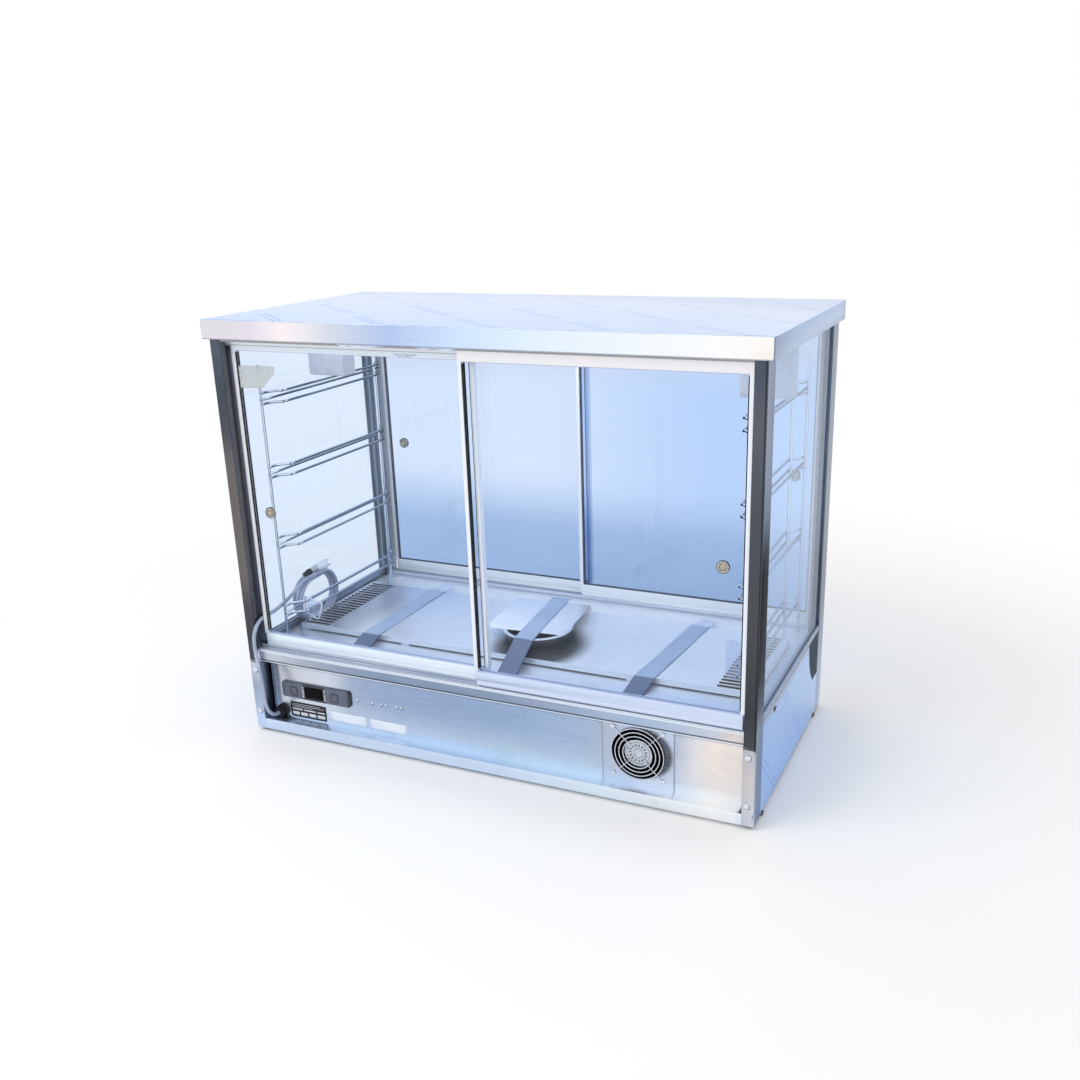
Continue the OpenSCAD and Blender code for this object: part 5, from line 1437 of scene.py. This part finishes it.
def foam_finish():
    """Off-white foam with fine pores, and painted shade on the left block's right side."""
    finish = Finish("foam")
    pores = finish.node("TexVoronoi", None, {"Vector": finish.spot, "Scale": 420.0})
    cloud = finish.noise(30, 3, 0.6)
    hue = cloud.rise(0.3, 0.7).blend((196, 202, 214), (210, 216, 228))
    # Painted shade: the left block's right side is darker.
    turned = finish.x.rise(180.2, 181.2) * (1 - finish.x.rise(300, 400))
    hue = (turned * 0.7).blend(hue, (160, 164, 174))
    hue = ((1 - pores.rise(0.0, 0.4)) * 0.25).blend(hue, (150, 152, 162))
    return finish.done(Base_Color=hue, Roughness=0.85 + cloud * 0.1, Normal=finish.bump(pores, 0.5, 0.0006))


foam = foam_finish()
foam_left, foam_right = [finished(foam_block(*block), foam, "cabinet") for block in (
    ("foam_left", (88, 232, 783), (183, 277, 891.3), 1.0),
    ("foam_right", (1060, 290, 771), (1166, 335, 889.8), 2.2),
)]
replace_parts(foam_left, "packing_blocks")
print("foam", len(foam_left.data.polygons), "faces a block")


# %% Straps
def strap_finish():
    """Satin ribbon: very fine ribs across and a soft sheen along. Behind the tray's middle it faces the light
    and is painted paler, and where it slopes down to the tray's front or over the cover's edge it is painted
    darker, as shade."""
    finish = Finish("strap_satin")
    rib = finish.noise(900, 2, 0.6, (1, 0.06, 1))
    cloud = finish.noise(9, 3, 0.6)
    hue = cloud.rise(0.25, 0.75).blend((140, 163, 196), (160, 184, 217))
    # Painted light: paler behind the tray's middle, where the strap faces the light.
    hue = (finish.y.rise(452, 462) * 0.9).blend(hue, (206, 220, 244))
    hue = (rib.rise(0.45, 0.75) * 0.25).blend(hue, (186, 204, 232))
    # Painted shade where the strap slopes down to the tray's front or over the cover's edge.
    slope_shade = (finish.x.within(560, 680, 4) * (1 - finish.y.rise(192, 200))).either(1 - finish.y.rise(148, 154))
    hue = (slope_shade * 0.9).blend(hue, (62, 84, 120))
    return finish.done(Base_Color=hue, Roughness=0.34 + (rib - 0.5) * 0.2, Sheen_Weight=0.2,
                       Normal=finish.bump(rib, 0.3, 0.0004))


strap_width, strap_start, strap_thickness = 44, 156, 0.6


def strap_piece(name, x, turn, line, wave, curl):
    """A ribbon: along its line of (y, z) points from front to rear, and across its width. The line is
    smoothed, the ribbon cups a little across its width, a slow wave twists it along its length, and a curl
    turns its last stretch over towards one side."""
    path = smooth_path([(0, y, z) for y, z in line], 6)
    v = np.linspace(-1, 1, 11)[None, :]
    along = np.linspace(0, 1, len(path))[:, None]
    lift = 0.5 + 0.3 * (1 - v * v) + wave * np.sin(along * 9 + 1) * v * np.sin(along * np.pi) ** 2
    tail = step(along, 0.86, 1.0)
    local_x = v * strap_width / 2 * (1 - 0.25 * abs(curl) * tail) + 0.8 * np.sin(along * 6)
    local_y, z = path[:, 1:2], path[:, 2:3] + lift + curl * tail * (v + 1) * 3.5
    c, s = math.cos(math.radians(turn)), math.sin(math.radians(turn))
    grid = xyz(x + local_x * c - local_y * s, strap_start + local_x * s + local_y * c, z)
    length = np.linalg.norm(np.diff(path, axis=0), axis=1).sum()
    return leaf_piece(name, grid, strap_thickness), length


plain_line = [(-77, 195.8), (-62, 196.2), (-46, 198.6), (-36, 201), (-20, 206.2), (-6, 210.6), (4, 211.0),
              (60, 210.8), (152, 210.9), (240, 210.8), (296, 211.0), (310, 210.0), (328, 206.8), (342, 205.2),
              (356, 206.0)]
cover_line = [(-77, 195.8), (-69, 196.6), (-52, 202.0), (-20, 213.2), (20, 227.4), (34, 232.4), (41, 234.4),
              (52, 234.8), (76, 235.1), (150, 235.0), (230, 235.0), (296, 234.8), (302, 234.2)]
strap_satin = strap_finish()
straps = []
for name, x, turn, line, wave, curl in (
    ("strap_left", 249, 0, plain_line, 0.5, 0.8), ("strap_middle", 620.5, 5.5, cover_line, 0.3, 0.0),
    ("strap_right", 913.5, -4.7, plain_line, -0.5, -0.4),
):
    piece, length = strap_piece(name, x, turn, line, wave, curl)
    finished(piece, strap_satin, "cabinet")
    straps.append(piece)
    print(name, round(length), "mm long")
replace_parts(straps[0], "packing_straps")

# %% [markdown]
# ## Scraps left from packing
# A wrinkled piece of tape is stuck on the left door, a torn triangle of film hangs at the top of the same
# door, a small clip and a clear tag hang on the left rack, and a clear card leans on the right one. They
# are thin leaves with wrinkles made of sines.

# %% Tape, film triangle, clip, tag and card
def hazy(name, tint, share, rough=0.25):
    """Milky clear plastic: a transparent shader mixed with a pale glossy one, more of it in the wrinkles."""
    finish = Finish(name)
    cloud = finish.noise(60, 4, 0.6)
    body = finish.node("BsdfPrincipled", None, {
        "Base Color": colour(*tint), "Roughness": rough, "Coat Weight": 0.3,
    })
    clear = finish.node("BsdfTransparent", None, {0: colour(244, 248, 255)})
    amount = cloud.rise(0.3, 0.75) * (share[1] - share[0]) + share[0]
    return finish.shown(finish.mixed(amount, clear, body))


tape_haze = hazy("tape_haze", (204, 210, 212), (0.6, 0.95))
film_haze = hazy("film_haze", (236, 242, 255), (0.35, 0.75))
card_haze = hazy("card_haze", (226, 234, 248), (0.12, 0.35))


def wrinkled(name, outline_low, outline_high, x0, x1, y, height):
    """A leaf between two lines: for each share of its width the lower and upper edge come from lists of
    heights, and crossing sines wrinkle it outwards."""
    u = np.linspace(0, 1, 40)[None, :]
    v = np.linspace(0, 1, 24)[:, None]
    low = np.interp(u, np.linspace(0, 1, len(outline_low)), outline_low)
    high = np.interp(u, np.linspace(0, 1, len(outline_high)), outline_high)
    ripple = np.sin(u * 23 + v * 9) * np.sin(v * 17 - u * 6) + 0.5 * np.sin(u * 47 - v * 21)
    grid = xyz(x0 + (x1 - x0) * u, y - height * (0.6 + 0.4 * ripple), low + (high - low) * v)
    return leaf_piece(name, grid, 0.15)


glass_front = round(1000 * (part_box("front_left_glass")[0].y - corner[1]), 1)
tape = wrinkled("tape_patch", (787, 786, 787, 789, 790, 806, 820), (832, 833, 833, 834, 834, 834, 834),
                56, 149, glass_front - 0.2, 0.8)
finished(tape, tape_haze, "front_left_door")
triangle = wrinkled("film_triangle", (870.6, 866.5, 862.5, 866, 870.6), (871, 871, 871, 871, 871), 440, 497,
                    glass_front - 4.8, 0.4)
finished(triangle, film_haze, "front_left_door")
tag = wrinkled("rack_tag", (243, 239, 235, 231), (281, 277, 273, 269), 74, 118, 152, 1.2)
finished(tag, card_haze, "cabinet")
clip = tube_piece("rack_clip", smooth_path([
    (73, 150, 282), (72.6, 150, 262), (74, 150, 243), (90, 150, 236), (106, 150, 229.5), (114, 150, 247),
    (120, 150, 269), (97, 150, 275.5),
], 3), 1.9, sides=12, loop=True)
finished(clip, paper_white, "cabinet")
card = wrinkled("rack_card", (240, 238, 236, 240), (318, 322, 320, 316), 1086, 1122, 150, 0.8)
finished(card, card_haze, "cabinet")


def film_blob():
    """The small dark patch on the right side film: a disc whose radius is a sum of sines round its middle,
    stretched along y, with a rounded edge."""
    a = around(60)[None, :]
    ragged = 5.2 + 1.1 * np.sin(3 * a + 0.6) + 0.8 * np.sin(7 * a + 1)
    share = np.array((0, 0.5, 1, 1))[:, None]
    return grid_piece("film_blob", xyz(
        1188.1 - 0.7 * np.array((0, 0, 0.5, 1))[:, None], 150 + 2.2 * share * ragged * np.cos(a),
        188 + share * ragged * np.sin(a) - 0.4 * share * ragged * np.cos(a),
    ), wrap_columns=True, close_ends=True)


finished(film_blob(), black_rubber, "cabinet")
print("scraps made")
